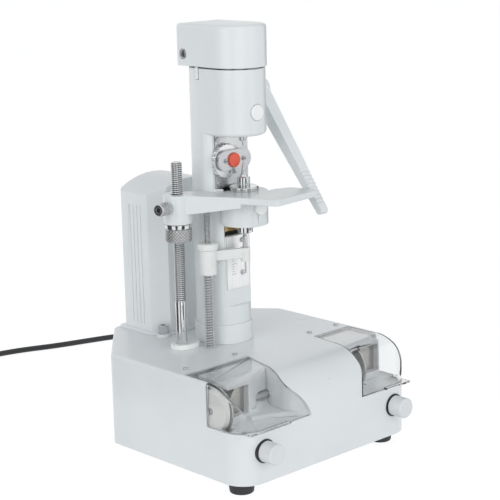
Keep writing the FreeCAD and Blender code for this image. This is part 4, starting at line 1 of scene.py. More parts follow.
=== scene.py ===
"""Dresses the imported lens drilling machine: surfaces, finishes, cord, studio and camera.

Lengths are metres in the frame of the CAD part: X to the operator's right, Y to the back, Z up, with the
floor at zero. Sizes that are written in millimetres go through the MM factor.
"""

from __future__ import annotations

import json
import logging
import math
import sys
from dataclasses import dataclass, field
from enum import Enum
from typing import Any, Sequence

import bmesh
import bpy
import numpy as np
from mathutils import Matrix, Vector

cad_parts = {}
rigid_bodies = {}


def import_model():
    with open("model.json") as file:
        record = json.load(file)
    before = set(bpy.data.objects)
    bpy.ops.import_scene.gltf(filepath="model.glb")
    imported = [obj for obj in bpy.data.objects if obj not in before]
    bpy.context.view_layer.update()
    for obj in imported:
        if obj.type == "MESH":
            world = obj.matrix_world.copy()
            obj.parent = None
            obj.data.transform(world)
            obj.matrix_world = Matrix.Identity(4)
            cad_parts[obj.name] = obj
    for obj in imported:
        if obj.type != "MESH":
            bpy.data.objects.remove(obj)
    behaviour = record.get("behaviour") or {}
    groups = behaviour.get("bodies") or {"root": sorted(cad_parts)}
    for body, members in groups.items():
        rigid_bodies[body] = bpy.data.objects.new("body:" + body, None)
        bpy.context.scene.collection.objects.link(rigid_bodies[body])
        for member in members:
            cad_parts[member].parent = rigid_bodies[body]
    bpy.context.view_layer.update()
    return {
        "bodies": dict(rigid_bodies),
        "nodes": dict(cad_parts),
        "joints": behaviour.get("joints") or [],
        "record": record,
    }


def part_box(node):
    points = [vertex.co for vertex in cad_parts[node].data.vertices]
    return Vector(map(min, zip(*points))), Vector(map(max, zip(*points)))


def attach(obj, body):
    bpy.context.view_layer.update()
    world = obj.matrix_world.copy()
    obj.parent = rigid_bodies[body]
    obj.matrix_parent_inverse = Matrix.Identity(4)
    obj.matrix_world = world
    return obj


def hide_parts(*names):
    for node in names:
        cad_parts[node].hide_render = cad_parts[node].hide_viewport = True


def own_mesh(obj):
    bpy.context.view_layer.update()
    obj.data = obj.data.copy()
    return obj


LOG = logging.getLogger("lens_drill")
MM = 0.001
COLUMN_Y = 26.1
CREASE = math.radians(32)
# Name of the attribute that marks groove roots for painted shade.
GROOVE_SHADE = "groove"

Colour = tuple[float, float, float]
Point = tuple[float, float, float]


class Axis(Enum):
    """The way in which a turned piece points."""

    UP = "up"
    RIGHT = "right"
    FRONT = "front"

    def basis(self) -> np.ndarray:
        """Rows that carry a piece's own x, y and z into the frame."""
        rows = {
            Axis.UP: ((1, 0, 0), (0, 1, 0), (0, 0, 1)),
            Axis.RIGHT: ((0, 1, 0), (0, 0, 1), (1, 0, 0)),
            Axis.FRONT: ((1, 0, 0), (0, 0, 1), (0, -1, 0)),
        }
        return np.array(rows[self], float)


class Grain(Enum):
    """How a metal's surface was worked."""

    PLAIN = "plain"
    BRUSHED = "brushed"
    TURNED = "turned"
    CAST = "cast"


# Shader maths


class Signal:
    """A node socket that takes part in arithmetic. Each operation adds one Math node."""

    def __init__(self, board: "Board", socket: bpy.types.NodeSocket) -> None:
        """Keeps the socket and the board that its nodes go on."""
        self.board = board
        self.socket = socket

    def _joined(self, operation: str, *values: Any) -> "Signal":
        """Adds a Math node over the given values.

        Args:
            operation: The Math node's operation.
            values: Signals or numbers for its inputs, in order.

        Returns:
            The node's result.
        """
        return self.board.signal("ShaderNodeMath", {"operation": operation}, dict(enumerate(values)))

    def __add__(self, other: Any) -> "Signal":
        """Sum."""
        return self._joined("ADD", self, other)

    def __radd__(self, other: Any) -> "Signal":
        """Sum with the signal on the right."""
        return self._joined("ADD", other, self)

    def __sub__(self, other: Any) -> "Signal":
        """Difference."""
        return self._joined("SUBTRACT", self, other)

    def __rsub__(self, other: Any) -> "Signal":
        """Difference with the signal on the right."""
        return self._joined("SUBTRACT", other, self)

    def __mul__(self, other: Any) -> "Signal":
        """Product."""
        return self._joined("MULTIPLY", self, other)

    def __rmul__(self, other: Any) -> "Signal":
        """Product with the signal on the right."""
        return self._joined("MULTIPLY", other, self)

    def __truediv__(self, other: Any) -> "Signal":
        """Quotient."""
        return self._joined("DIVIDE", self, other)

    def __pow__(self, other: Any) -> "Signal":
        """Power."""
        return self._joined("POWER", self, other)

    def root(self) -> "Signal":
        """Square root."""
        return self._joined("SQRT", self)

    def limited(self) -> "Signal":
        """The signal held between 0 and 1."""
        return self._joined("MINIMUM", self._joined("MAXIMUM", self, 0.0), 1.0)

    def between(self, low: float, high: float) -> "Signal":
        """A smooth step that rises from 0 to 1.

        Args:
            low: Where the step starts.
            high: Where it is full.

        Returns:
            The step as a signal.
        """
        settings = {"interpolation_type": "SMOOTHSTEP"}
        return self.board.signal("ShaderNodeMapRange", settings, {"Value": self, "From Min": low, "From Max": high})


class Board:
    """One material under construction."""

    def __init__(self, name: str, tree: bpy.types.NodeTree | None = None) -> None:
        """Starts an empty node tree, or takes the one that is given."""
        self.material = None
        if tree is None:
            self.material = bpy.data.materials.new(name)
            self.material.use_nodes = True
            tree = self.material.node_tree
        self.tree = tree
        self.tree.nodes.clear()

    def node(self, kind: str, settings: dict[str, Any] | None = None,
             inputs: dict[Any, Any] | None = None) -> bpy.types.Node:
        """Adds a node.

        Args:
            kind: The node's type.
            settings: Its own properties, set before its sockets; "stops" holds a ramp's positions and colours.
            inputs: Values, sockets or signals for its inputs, by name or number.

        Returns:
            The new node.
        """
        made = self.tree.nodes.new(kind)
        for key, value in (settings or {}).items():
            if key == "stops":
                ramp = made.color_ramp
                while len(ramp.elements) < len(value):
                    ramp.elements.new(1.0)
                for element, (position, colour) in zip(ramp.elements, value):
                    element.position = position
                    element.color = (*colour, 1.0)
            else:
                setattr(made, key, value)
        for key, value in (inputs or {}).items():
            socket = made.inputs[key]
            if isinstance(value, Signal):
                self.tree.links.new(value.socket, socket)
            elif isinstance(value, bpy.types.NodeSocket):
                self.tree.links.new(value, socket)
            else:
                socket.default_value = value
        return made

    def signal(self, kind: str, settings: dict[str, Any] | None = None,
               inputs: dict[Any, Any] | None = None, output: Any = 0) -> Signal:
        """Adds a node and returns one of its outputs as a signal."""
        return Signal(self, self.node(kind, settings, inputs).outputs[output])

    def place(self, centre: Point = (0, 0, 0), stretch: Point = (1, 1, 1)) -> bpy.types.NodeSocket:
        """Object coordinates about a centre, stretched along the axes.

        Args:
            centre: The point that becomes the pattern's origin, in metres.
            stretch: The factor along each axis.

        Returns:
            The coordinates' socket.
        """
        where = self.node("ShaderNodeTexCoord").outputs["Object"]
        moved = self.node("ShaderNodeMapping", {"vector_type": "POINT"},
                          {"Vector": where, "Location": tuple(-c * k for c, k in zip(centre, stretch)),
                           "Scale": stretch})
        return moved.outputs[0]

    def noise(self, where: bpy.types.NodeSocket, scale: float, detail: float = 2.0,
              rough: float = 0.5) -> Signal:
        """Noise between about 0.3 and 0.7.

        Args:
            where: The coordinates.
            scale: Waves per metre.
            detail: Octaves.
            rough: Weight of the finer octaves.

        Returns:
            The noise as a signal.
        """
        return self.signal("ShaderNodeTexNoise", {"noise_dimensions": "3D"},
                           {"Vector": where, "Scale": scale, "Detail": detail, "Roughness": rough}, "Fac")

    def tint(self, amount: Any, first: Colour, second: Colour) -> bpy.types.NodeSocket:
        """A colour between two colours.

        Args:
            amount: 0 for the first colour and 1 for the second.
            first: The first colour.
            second: The second colour.

        Returns:
            The mixed colour's socket.
        """
        mixed = self.node("ShaderNodeMix", {"data_type": "RGBA"},
                          {0: amount, 6: (*first, 1.0), 7: (*second, 1.0)})
        return mixed.outputs[2]

    def relief(self, height: Signal, depth: float, strength: float = 1.0) -> bpy.types.NodeSocket:
        """A normal from a height.

        Args:
            height: The height from 0 to 1.
            depth: The height of a full step in metres.
            strength: The share of it that shows.

        Returns:
            The normal's socket.
        """
        made = self.node("ShaderNodeBump", None, {"Height": height, "Distance": depth, "Strength": strength})
        return made.outputs[0]

    def surface(self, **sockets: Any) -> bpy.types.Material:
        """Closes the material with a Principled shader.

        Args:
            sockets: Its inputs, with underscores for spaces.

        Returns:
            The finished material.
        """
        inputs = {key.replace("_", " "): value for key, value in sockets.items()}
        for key, value in inputs.items():
            if isinstance(value, tuple) and len(value) == 3:
                inputs[key] = (*value, 1.0)
        shader = self.node("ShaderNodeBsdfPrincipled", None, inputs)
        self.node("ShaderNodeOutputMaterial", None, {"Surface": shader.outputs[0]})
        return self.material


# Finishes


@dataclass(frozen=True)
class Paint:
    """Sprayed enamel: a fine orange peel, a soft mottle and a clear gloss."""

    name: str
    colour: Colour
    roughness: float = 0.3
    gloss: float = 0.5
    peel: float = 0.00002

    def build(self) -> bpy.types.Material:
        """Returns the material: colour and gloss drift by slow noise, the skin waves by finer noise."""
        board = Board(self.name)
        where = board.place()
        drift = board.noise(where, 14, 3)
        skin = board.noise(where, 620, 2)
        dust = board.noise(where, 2600, 1)
        shade = tuple(0.93 * part for part in self.colour)
        colour = board.tint((drift - 0.35) * 1.6 + (dust - 0.5) * 0.3, self.colour, shade)
        rough = self.roughness + (drift - 0.5) * 0.12 + (dust - 0.5) * 0.05
        return board.surface(Base_Color=colour, Roughness=rough,
                             Normal=board.relief(skin * 0.8 + dust * 0.2, self.peel),
                             Coat_Weight=self.gloss, Coat_Roughness=0.06, Coat_IOR=1.45)


@dataclass(frozen=True)
class Metal:
    """Bare metal with the marks of how it was worked, and painted shade in the roots of its grooves."""

    name: str
    colour: Colour
    roughness: float = 0.2
    grain: Grain = Grain.PLAIN
    centre: Point = (0, 0, 0)
    along: Axis = Axis.UP
    groove_shade: float = 0.0

    def _marks(self, board: Board) -> Signal:
        """The working marks: streaks along the axis, rings round it, grit, or a faint haze."""
        if self.grain is Grain.BRUSHED:
            stretch = {Axis.UP: (1, 1, 0.02), Axis.RIGHT: (0.02, 1, 1), Axis.FRONT: (1, 0.02, 1)}[self.along]
            return board.noise(board.place(self.centre, stretch), 2400, 2)
        if self.grain is Grain.TURNED:
            split = board.node("ShaderNodeSeparateXYZ", None, {0: board.place(self.centre)})
            parts = [Signal(board, output) for output in split.outputs]
            order = {Axis.UP: (0, 1, 2), Axis.RIGHT: (1, 2, 0), Axis.FRONT: (0, 2, 1)}[self.along]
            first, second, ahead = (parts[index] for index in order)
            distance = (first * first + second * second).root()
            seam = board.node("ShaderNodeCombineXYZ", None, {0: distance, 1: ahead})
            return board.noise(seam.outputs[0], 3200, 2)
        if self.grain is Grain.CAST:
            return board.noise(board.place(self.centre), 1500, 3)
        return board.noise(board.place(self.centre), 160, 3)

    def build(self) -> bpy.types.Material:
        """Returns the material: the marks change the gloss, the tone and, finely, the relief; painted shade darkens the
        marked grooves.
        """
        board = Board(self.name)
        marks = self._marks(board)
        cloud = board.noise(board.place(), 70, 3)
        dark = tuple(0.78 * part for part in self.colour)
        depth = {Grain.PLAIN: 0.000001, Grain.BRUSHED: 0.000006, Grain.TURNED: 0.000006, Grain.CAST: 0.00004}
        colour = board.tint((marks - 0.4) * 1.5 + (cloud - 0.5) * 0.6, self.colour, dark)
        rough = self.roughness + (marks - 0.5) * 0.18 + (cloud - 0.5) * 0.1
        # Painted shade: the groove attribute darkens the roots of threads and knurls towards near black.
        if self.groove_shade:
            hollow = board.signal("ShaderNodeAttribute", {"attribute_name": GROOVE_SHADE}, None, "Fac") * self.groove_shade
            tinted = board.node("ShaderNodeMix", {"data_type": "RGBA"},
                                {0: hollow, 6: colour, 7: (0.03, 0.03, 0.034, 1.0)})
            colour = tinted.outputs[2]
            rough = rough + hollow * 0.3
        return board.surface(Base_Color=colour, Metallic=1.0, Roughness=rough.limited(),
                             Normal=board.relief(marks, depth[self.grain]))


@dataclass(frozen=True)
class Moulded:
    """Moulded plastic or rubber: a fine skin over an even body."""

    name: str
    colour: Colour
    roughness: float = 0.35
    skin: float = 0.00001
    scale: float = 1400.0
    gloss: float = 0.0

    def build(self) -> bpy.types.Material:
        """Returns the material: tone and gloss follow slow noise, the skin is fine noise."""
        board = Board(self.name)
        where = board.place()
        slow = board.noise(where, 55, 3)
        fine = board.noise(where, self.scale, 3, 0.6)
        second = tuple(min(1.0, 0.86 * part + 0.01) for part in self.colour)
        colour = board.tint((slow - 0.35) * 1.3 + (fine - 0.5) * 0.4, self.colour, second)
        rough = self.roughness + (slow - 0.5) * 0.14 + (fine - 0.5) * 0.1
        return board.surface(Base_Color=colour, Roughness=rough, Normal=board.relief(fine, self.skin),
                             Coat_Weight=self.gloss, Coat_Roughness=0.08)


@dataclass(frozen=True)
class ClearSheet:
    """Clear moulded sheet that bends the light, with a faint haze of wiping marks."""

    name: str
    roughness: float = 0.02
    colour: Colour = (0.97, 0.98, 0.985)

    def build(self) -> bpy.types.Material:
        """Returns the material: the haze changes the gloss, and a slow wave in the skin bends the reflections."""
        board = Board(self.name)
        where = board.place()
        haze = board.noise(where, 140, 3)
        shade = tuple(0.985 * part for part in self.colour)
        return board.surface(Base_Color=board.tint(haze, self.colour, shade), Transmission_Weight=1.0, IOR=1.47,
                             Roughness=(haze - 0.45).limited() * 0.2 + self.roughness,
                             Normal=board.relief(board.noise(where, 26, 1), 0.00015))


@dataclass(frozen=True)
class Felt:
    """Pressed wool: short fibres that stand off the body."""

    name: str
    colour: Colour

    def build(self) -> bpy.types.Material:
        """Returns the material: two sizes of fibre noise for tone and relief."""
        board = Board(self.name)
        where = board.place()
        tuft = board.noise(where, 900, 4, 0.7)
        lump = board.noise(where, 180, 3)
        shade = tuple(0.7 * part for part in self.colour)
        return board.surface(Base_Color=board.tint((tuft - 0.35) * 1.8, self.colour, shade), Roughness=0.95,
                             Sheen_Weight=0.4, Normal=board.relief(tuft * 0.7 + lump * 0.3, 0.0004))


@dataclass
class Palette:
    """Every finish of the machine, built once."""

    shell: bpy.types.Material = field(init=False)

    def __post_init__(self) -> None:
        """Builds the finishes."""
        self.shell = Paint("shell_enamel", (0.78, 0.808, 0.818), 0.3, 0.22, 0.000016).build()
        # Painted shade: the stations are the shell's white enamel made darker, for the shade inside their recesses.
        self.inner = Paint("station_enamel_painted_shade", (0.72, 0.745, 0.76), 0.38, 0.3, 0.00003).build()
        self.column = Paint("column_enamel", (0.765, 0.80, 0.80), 0.34, 0.35, 0.00002).build()
        self.table = Paint("table_enamel", (0.735, 0.77, 0.77), 0.36, 0.35, 0.00002).build()
        self.knob = Moulded("knob_plastic", (0.745, 0.765, 0.775), 0.38, 0.000012, 1800).build()
        self.white = Moulded("white_plastic", (0.9, 0.91, 0.905), 0.22, 0.000004, 900, 0.4).build()
        self.nylon = Moulded("nylon", (0.8, 0.815, 0.8), 0.42, 0.00001, 1200).build()
        self.red = Moulded("red_plastic", (0.8, 0.105, 0.055), 0.3, 0.000006, 1200, 0.2).build()
        self.rubber = Moulded("foot_rubber", (0.028, 0.03, 0.034), 0.62, 0.00005, 1700).build()
        self.sheath = Moulded("cord_sheath", (0.018, 0.019, 0.022), 0.42, 0.00003, 1300).build()
        self.black = Moulded("black_metal", (0.02, 0.021, 0.024), 0.4, 0.00001, 1500).build()
        self.chrome = Metal("polished_steel", (0.72, 0.73, 0.74), 0.1).build()
        self.satin = Metal("satin_steel", (0.62, 0.63, 0.645), 0.27, Grain.CAST).build()
        # Painted shade: these three steels darken towards black in their thread and knurl grooves.
        self.threaded = Metal("threaded_steel", (0.74, 0.75, 0.76), 0.12, groove_shade=0.95).build()
        self.knurl = Metal("knurled_steel", (0.8, 0.81, 0.815), 0.22, groove_shade=0.7).build()
        self.grip = Metal("dark_knurl", (0.46, 0.465, 0.47), 0.24, groove_shade=0.8).build()
        self.drawn = Metal("drawn_steel", (0.66, 0.67, 0.68), 0.16, Grain.BRUSHED).build()
        self.plate = Metal("brushed_plate", (0.7, 0.71, 0.72), 0.3, Grain.BRUSHED, along=Axis.RIGHT).build()
        # Painted shade: the guide plates in the stations' windows are darkened well below bare steel to stand for the
        # shaded recess.
        self.window = Metal("window_plate_painted_shade", (0.4, 0.39, 0.365), 0.3, Grain.BRUSHED, along=Axis.RIGHT).build()
        self.screw = Metal("screw_steel", (0.42, 0.425, 0.43), 0.22).build()
        self.dark = Metal("dark_steel", (0.3, 0.305, 0.31), 0.3, Grain.CAST).build()
        self.scale = Metal("scale_aluminium", (0.88, 0.885, 0.89), 0.42, Grain.BRUSHED).build()
        self.brass = Metal("milled_brass", (0.72, 0.5, 0.22), 0.28, Grain.BRUSHED, along=Axis.RIGHT).build()
        self.copper = Moulded("winding_enamel", (0.32, 0.13, 0.05), 0.3, 0.00006, 700).build()
        self.clear = ClearSheet("clear_sheet").build()
        self.felt = Felt("pressed_felt", (0.86, 0.86, 0.84)).build()
        self.ink = Moulded("scale_ink", (0.09, 0.095, 0.11), 0.5, 0.000004, 900).build()
        self.belt = Moulded("belt_rubber", (0.045, 0.04, 0.036), 0.7, 0.00005, 900).build()
        self.tie = Moulded("tie_strap", (0.04, 0.042, 0.046), 0.75, 0.00008, 900).build()

    def turned(self, name: str, centre: Point, along: Axis, colour: Colour = (0.7, 0.71, 0.72),
               roughness: float = 0.16) -> bpy.types.Material:
        """A turned metal whose rings lie round a piece's own axis."""
        return Metal(name, colour, roughness, Grain.TURNED, centre, along).build()


# Surfaces


def frame_point(x: float, y: float, z: float) -> np.ndarray:
    """A point given in millimetres from the column's axis, in metres in the frame."""
    return np.array([x, y + COLUMN_Y, z]) * MM


def new_piece(name: str, vertices: np.ndarray, faces: Sequence[Sequence[int]] | np.ndarray,
              material: bpy.types.Material, crease: float = CREASE,
              depth: np.ndarray | None = None) -> bpy.types.Object:
    """Makes a mesh object, with doubles merged, faces outwards and creases kept sharp.

    Args:
        name: The piece's name.
        vertices: The points, one row each.
        faces: Corner numbers of each face.
        material: Its finish.
        crease: Edges that bend more than this stay sharp.
        depth: How deep each point lies in a groove, from 0 to 1, for the painted shade that the finish puts there.

    Returns:
        The linked object at the origin.
    """
    mesh = bpy.data.meshes.new(name)
    mesh.from_pydata(np.asarray(vertices, float).reshape(-1, 3).tolist(), [], [list(map(int, f)) for f in faces])
    if depth is not None:
        mesh.attributes.new(GROOVE_SHADE, "FLOAT", "POINT").data.foreach_set("value", np.asarray(depth, float).ravel())
    work = bmesh.new()
    work.from_mesh(mesh)
    bmesh.ops.remove_doubles(work, verts=work.verts, dist=1e-7)
    bmesh.ops.dissolve_degenerate(work, edges=work.edges, dist=1e-8)
    bmesh.ops.recalc_face_normals(work, faces=work.faces)
    work.to_mesh(mesh)
    work.free()
    mesh.shade_smooth()
    mesh.set_sharp_from_angle(angle=crease)
    mesh.materials.append(material)
    piece = bpy.data.objects.new(name, mesh)
    bpy.context.scene.collection.objects.link(piece)
    return piece


def grid_faces(rows: int, columns: int, wrap_rows: bool, wrap_columns: bool) -> np.ndarray:
    """Corner numbers of the quads of a grid.

    Args:
        rows: Points along the first parameter.
        columns: Points along the second.
        wrap_rows: Whether the last row joins the first.
        wrap_columns: Whether the last column joins the first.

    Returns:
        One row of four corners for each quad.
    """
    row = np.arange(rows if wrap_rows else rows - 1)[:, None]
    column = np.arange(columns if wrap_columns else columns - 1)[None, :]
    below, beside = (row + 1) % rows, (column + 1) % columns
    corners = [row * columns + column, row * columns + beside, below * columns + beside, below * columns + column]
    return np.stack([np.broadcast_to(c, (row.shape[0], column.shape[1])) for c in corners], axis=-1).reshape(-1, 4)


def grid_piece(name: str, points: np.ndarray, material: bpy.types.Material, wrap_rows: bool = False,
               wrap_columns: bool = True, ends: bool = False, crease: float = CREASE,
               depth: np.ndarray | None = None) -> bpy.types.Object:
    """Makes a piece from points on a grid.

    Args:
        name: The piece's name.
        points: An array of rows by columns by three.
        material: Its finish.
        wrap_rows: Whether the surface closes along the rows.
        wrap_columns: Whether it closes along the columns.
        ends: Whether the first and last rows are closed by flat faces.
        crease: Edges that bend more than this stay sharp.
        depth: How deep each point lies in a groove, for the painted shade there.

    Returns:
        The linked object.
    """
    rows, columns = points.shape[:2]
    faces = grid_faces(rows, columns, wrap_rows, wrap_columns).tolist()
    if ends:
        faces.append(list(range(columns)))
        faces.append(list(range((rows - 1) * columns, rows * columns)))
    return new_piece(name, points, faces, material, crease, depth)


def softened(profile: Sequence[Sequence[float]], steps: int = 4) -> np.ndarray:
    """A profile whose corners are rounded.

    Each corner (r, h, radius) becomes the quadratic curve between the points that lie the radius, or at
    most 0.45 of the side, before and after it.

    Args:
        profile: Rows of radius, height and, where wanted, the rounding.
        steps: Parts of each rounding.

    Returns:
        Rows of radius and height.
    """
    rows = [np.array(row[:2], float) for row in profile]
    made = [rows[0]]
    for before, here, after, row in zip(rows, rows[1:], rows[2:], profile[1:]):
        size = row[2] if len(row) > 2 else 0.0
        if size <= 0:
            made.append(here)
            continue
        into, away = before - here, after - here
        reach_in = min(size, 0.45 * float(np.hypot(*into)))
        reach_out = min(size, 0.45 * float(np.hypot(*away)))
        first = here + into / np.hypot(*into) * reach_in
        last = here + away / np.hypot(*away) * reach_out
        part = np.linspace(0, 1, steps + 1)[:, None]
        made.extend((1 - part) ** 2 * first + 2 * part * (1 - part) * here + part ** 2 * last)
    made.append(rows[-1])
    return np.array(made)


def placed(points: np.ndarray, at: Point, axis: Axis) -> np.ndarray:
    """Turns a piece's own millimetre points to an axis and moves them to a place given from the column."""
    return (points @ axis.basis()) * MM + frame_point(*at)


def lathe(name: str, profile: Sequence[Sequence[float]], at: Point, axis: Axis, material: bpy.types.Material,
          steps: int = 72, closed: bool = False) -> bpy.types.Object:
    """A surface of revolution: the profile (radius, height) turned once round the axis.

    Args:
        name: The piece's name.
        profile: Rows of radius, height and rounding, in millimetres.
        at: The axis's foot, in millimetres from the column.
        axis: Where the axis points.
        material: Its finish.
        steps: Parts of a turn.
        closed: Whether the profile's end joins its start.

    Returns:
        The linked object.
    """
    line = softened(profile)
    turn = np.linspace(0, 2 * math.pi, steps, endpoint=False)
    radius, height = line[:, :1], line[:, 1:2]
    points = np.stack([radius * np.cos(turn), radius * np.sin(turn), height + 0 * turn], axis=-1)
    return grid_piece(name, placed(points, at, axis), material, wrap_rows=closed)


def knurled(name: str, radius: float, bore: float, low: float, high: float, at: Point, axis: Axis,
            material: bpy.types.Material, count: int, depth: float, crossed: bool) -> bpy.types.Object:
    """A ring with a knurled outside.

    Straight teeth follow |sin(count a / 2)|; crossed teeth are the product of two such waves that run
    up to the right and up to the left. Both fade out at the ends of the ring.

    Args:
        name: The piece's name.
        radius: Outside radius over the teeth, in millimetres.
        bore: Radius of the hole.
        low: Start along the axis.
        high: End along the axis.
        at: The axis's foot.
        axis: Where the axis points.
        material: Its finish.
        count: Teeth round the ring.
        depth: Depth of the teeth.
        crossed: Whether the teeth are diamonds.

    Returns:
        The linked object.
    """
    columns = count * (6 if crossed else 5)
    rise = high - low
    rows = max(12, int(rise / (2 * math.pi * radius / count) * 6)) if crossed else 12
    turn = np.linspace(0, 2 * math.pi, columns, endpoint=False)[None, :]
    level = np.linspace(0, 1, rows)[:, None]
    lean = level * rise / radius
    if crossed:
        tooth = np.abs(np.sin(count * (turn + lean) / 2)) * np.abs(np.sin(count * (turn - lean) / 2))
    else:
        tooth = np.abs(np.sin(count * turn / 2)) + 0 * level
    fade = np.clip(np.minimum(level, 1 - level) * rise / 0.6, 0, 1)
    outside = radius - depth * (1 - tooth * fade)
    outside = outside - 0.35 * (1 - np.clip(np.minimum(level, 1 - level) * rise / 0.35, 0, 1))
    ends = np.full((1, columns), bore)
    span = np.concatenate([ends, outside, ends])
    height = np.concatenate([[[low]], low + level * rise, [[high]]]) + 0 * turn
    points = np.stack([span * np.cos(turn), span * np.sin(turn), height], axis=-1)
    # Painted shade: the low ground between the teeth is marked so that the finish darkens it.
    groove_shade_mask = np.clip(1.1 - 1.6 * tooth, 0, 1) * fade
    hollow = np.concatenate([0 * ends, groove_shade_mask, 0 * ends])
    return grid_piece(name, placed(points, at, axis), material, wrap_rows=True, crease=math.radians(50), depth=hollow)


def screw_thread(name: str, radius: float, depth: float, pitch: float, low: float, high: float,
                 thread_from: float, at: Point, material: bpy.types.Material, steps: int = 36) -> bpy.types.Object:
    """A threaded rod: its radius falls by a triangle wave of height over pitch less the turn.

    Args:
        name: The piece's name.
        radius: Outside radius in millimetres.
        depth: Depth of the thread.
        pitch: Rise of one turn.
        low: Foot of the rod.
        high: Top of the rod.
        thread_from: Where the thread starts; the rod is smooth below it.
        at: The axis's place.
        material: Its finish.
        steps: Parts of a turn.

    Returns:
        The linked object.
    """
    smooth = np.linspace(low, thread_from, 12)
    count = int((high - thread_from) / pitch * 6)
    level = np.concatenate([smooth, np.linspace(thread_from, high, count)[1:]])[:, None]
    turn = np.linspace(0, 2 * math.pi, steps, endpoint=False)[None, :]
    phase = (level / pitch - turn / (2 * math.pi)) % 1.0
    wave = 1 - np.abs(2 * phase - 1)
    on = np.clip((level - thread_from) / pitch, 0, 1)
    top = np.clip((high - level) / 1.2, 0, 1)
    span = (radius - depth * np.clip(wave * 1.35 - 0.15, 0, 1) * on) * (0.8 + 0.2 * top)
    points = np.stack([span * np.cos(turn), span * np.sin(turn), level + 0 * turn], axis=-1)
    # Painted shade: the thread's roots are marked so that the finish darkens them.
    return grid_piece(name, placed(points, at, Axis.UP), material, ends=True, crease=math.radians(70),
                      depth=np.clip(wave * 2.2 - 0.9, 0, 1) * on)


def tube_along(name: str, path: np.ndarray, radius: float, material: bpy.types.Material, closed: bool = False,
               sides: int = 10) -> bpy.types.Object:
    """A round tube along a path: each point carries a circle square to the path.

    The circle's own axes are the part of the world's Z, or of X where the path climbs, that is square
    to the path, and the third direction square to both.

    Args:
        name: The piece's name.
        path: The points in metres.
        radius: The tube's radius in metres.
        material: Its finish.
        closed: Whether the path returns to its start.
        sides: Points of the circle.

    Returns:
        The linked object.
    """
    if closed:
        ahead = np.roll(path, -1, axis=0) - np.roll(path, 1, axis=0)
    else:
        ahead = np.gradient(path, axis=0)
    ahead = ahead / np.linalg.norm(ahead, axis=1, keepdims=True)
    up = np.where(np.abs(ahead[:, 2:3]) > 0.9, np.array([[1.0, 0, 0]]), np.array([[0, 0, 1.0]]))
    side = np.cross(ahead, up)
    side = side / np.linalg.norm(side, axis=1, keepdims=True)
    other = np.cross(side, ahead)
    turn = np.linspace(0, 2 * math.pi, sides, endpoint=False)
    ring = np.cos(turn)[None, :, None] * side[:, None, :] + np.sin(turn)[None, :, None] * other[:, None, :]
    points = path[:, None, :] + radius * ring
    return grid_piece(name, points, material, wrap_rows=closed, ends=not closed)


def bars(name: str, lows: np.ndarray, highs: np.ndarray, material: bpy.types.Material) -> bpy.types.Object:
    """Small blocks in one mesh, each between a low and a high corner, in metres.

    Args:
        name: The piece's name.
        lows: One low corner for each block.
        highs: One high corner for each block.
        material: Their finish.

    Returns:
        The linked object.
    """
    pick = np.array([[0, 0, 0], [1, 0, 0], [1, 1, 0], [0, 1, 0], [0, 0, 1], [1, 0, 1], [1, 1, 1], [0, 1, 1]])
    points = lows[:, None, :] + (highs - lows)[:, None, :] * pick[None]
    sides = np.array([[0, 3, 2, 1], [4, 5, 6, 7], [0, 1, 5, 4], [1, 2, 6, 5], [2, 3, 7, 6], [3, 0, 4, 7]])
    faces = (sides[None] + 8 * np.arange(len(lows))[:, None, None]).reshape(-1, 4)
    return new_piece(name, points, faces, material)


# The machine


class Assembly:
    """What every sub-assembly shares: the frame, the finishes and the ways to dress a node."""

    def __init__(self, frame: dict[str, Any], palette: Palette) -> None:
        """Keeps the frame and the finishes, and looks up which body carries each node."""
        self.frame = frame
        self.palette = palette
        groups = frame["record"]["behaviour"]["bodies"]
        self.body_of = {node: body for body, nodes in groups.items() for node in nodes}
        self.slot_of = {row["node"]: row["material_slot"] for row in frame["record"]["subparts"]}

    def coat(self, material: bpy.types.Material, *nodes: str) -> None:
        """Gives CAD nodes a finish and leaves their shapes as they are."""
        for node in nodes:
            target = self.frame["nodes"][node]
            target.data.materials.clear()
            target.data.materials.append(material)
            LOG.info("coated %s", node)

    def stand_in(self, piece: bpy.types.Object, *nodes: str, carrier: str | None = None) -> bpy.types.Object:
        """Lets a new piece replace CAD nodes and ride on their body.

        Args:
            piece: The new piece.
            nodes: The nodes that it replaces.
            carrier: A node to ride with where it replaces none.

        Returns:
            The piece.
        """
        lead = nodes[0] if nodes else carrier
        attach(piece, self.body_of[lead])
        if nodes:
            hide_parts(*nodes)
        LOG.info("made %s", piece.name)
        return piece

    def refine(self, node: str, material: bpy.types.Material, width: float = 0.35, segments: int = 2,
               rim: bpy.types.Material | None = None, clamp: bool = False) -> bpy.types.Object:
        """Copies a node, merges its loose triangles into clean faces and softens its edges.

        Args:
            node: The CAD node.
            material: The finish of its faces.
            width: Width of the edge rounding in millimetres.
            segments: Faces across the rounding.
            rim: A finish for the rounded edges alone.
            clamp: Whether the rounding is held back where edges lie close.

        Returns:
            The new piece, which replaces the node.
        """
        work = bmesh.new()
        work.from_mesh(self.frame["nodes"][node].data)
        bmesh.ops.remove_doubles(work, verts=work.verts, dist=3e-6)
        bmesh.ops.dissolve_degenerate(work, edges=work.edges, dist=1e-6)
        bmesh.ops.dissolve_limit(work, angle_limit=math.radians(0.7), verts=work.verts, edges=work.edges)
        mesh = bpy.data.meshes.new(f"{node}_finished")
        work.to_mesh(mesh)
        work.free()
        for name in ("custom_normal", "sharp_face", "sharp_edge"):
            if name in mesh.attributes:
                mesh.attributes.remove(mesh.attributes[name])
        mesh.shade_smooth()
        mesh.materials.clear()
        mesh.materials.append(material)
        if rim is not None:
            mesh.materials.append(rim)
        piece = bpy.data.objects.new(f"{node}_finished", mesh)
        bpy.context.scene.collection.objects.link(piece)
        soft = piece.modifiers.new("edges", "BEVEL")
        soft.limit_method = "ANGLE"
        soft.angle_limit = CREASE
        soft.width = width * MM
        soft.segments = segments
        soft.use_clamp_overlap = clamp
        soft.harden_normals = True
        soft.miter_outer = "MITER_ARC"
        if rim is not None:
            soft.material = 1
        return self.stand_in(piece, node)


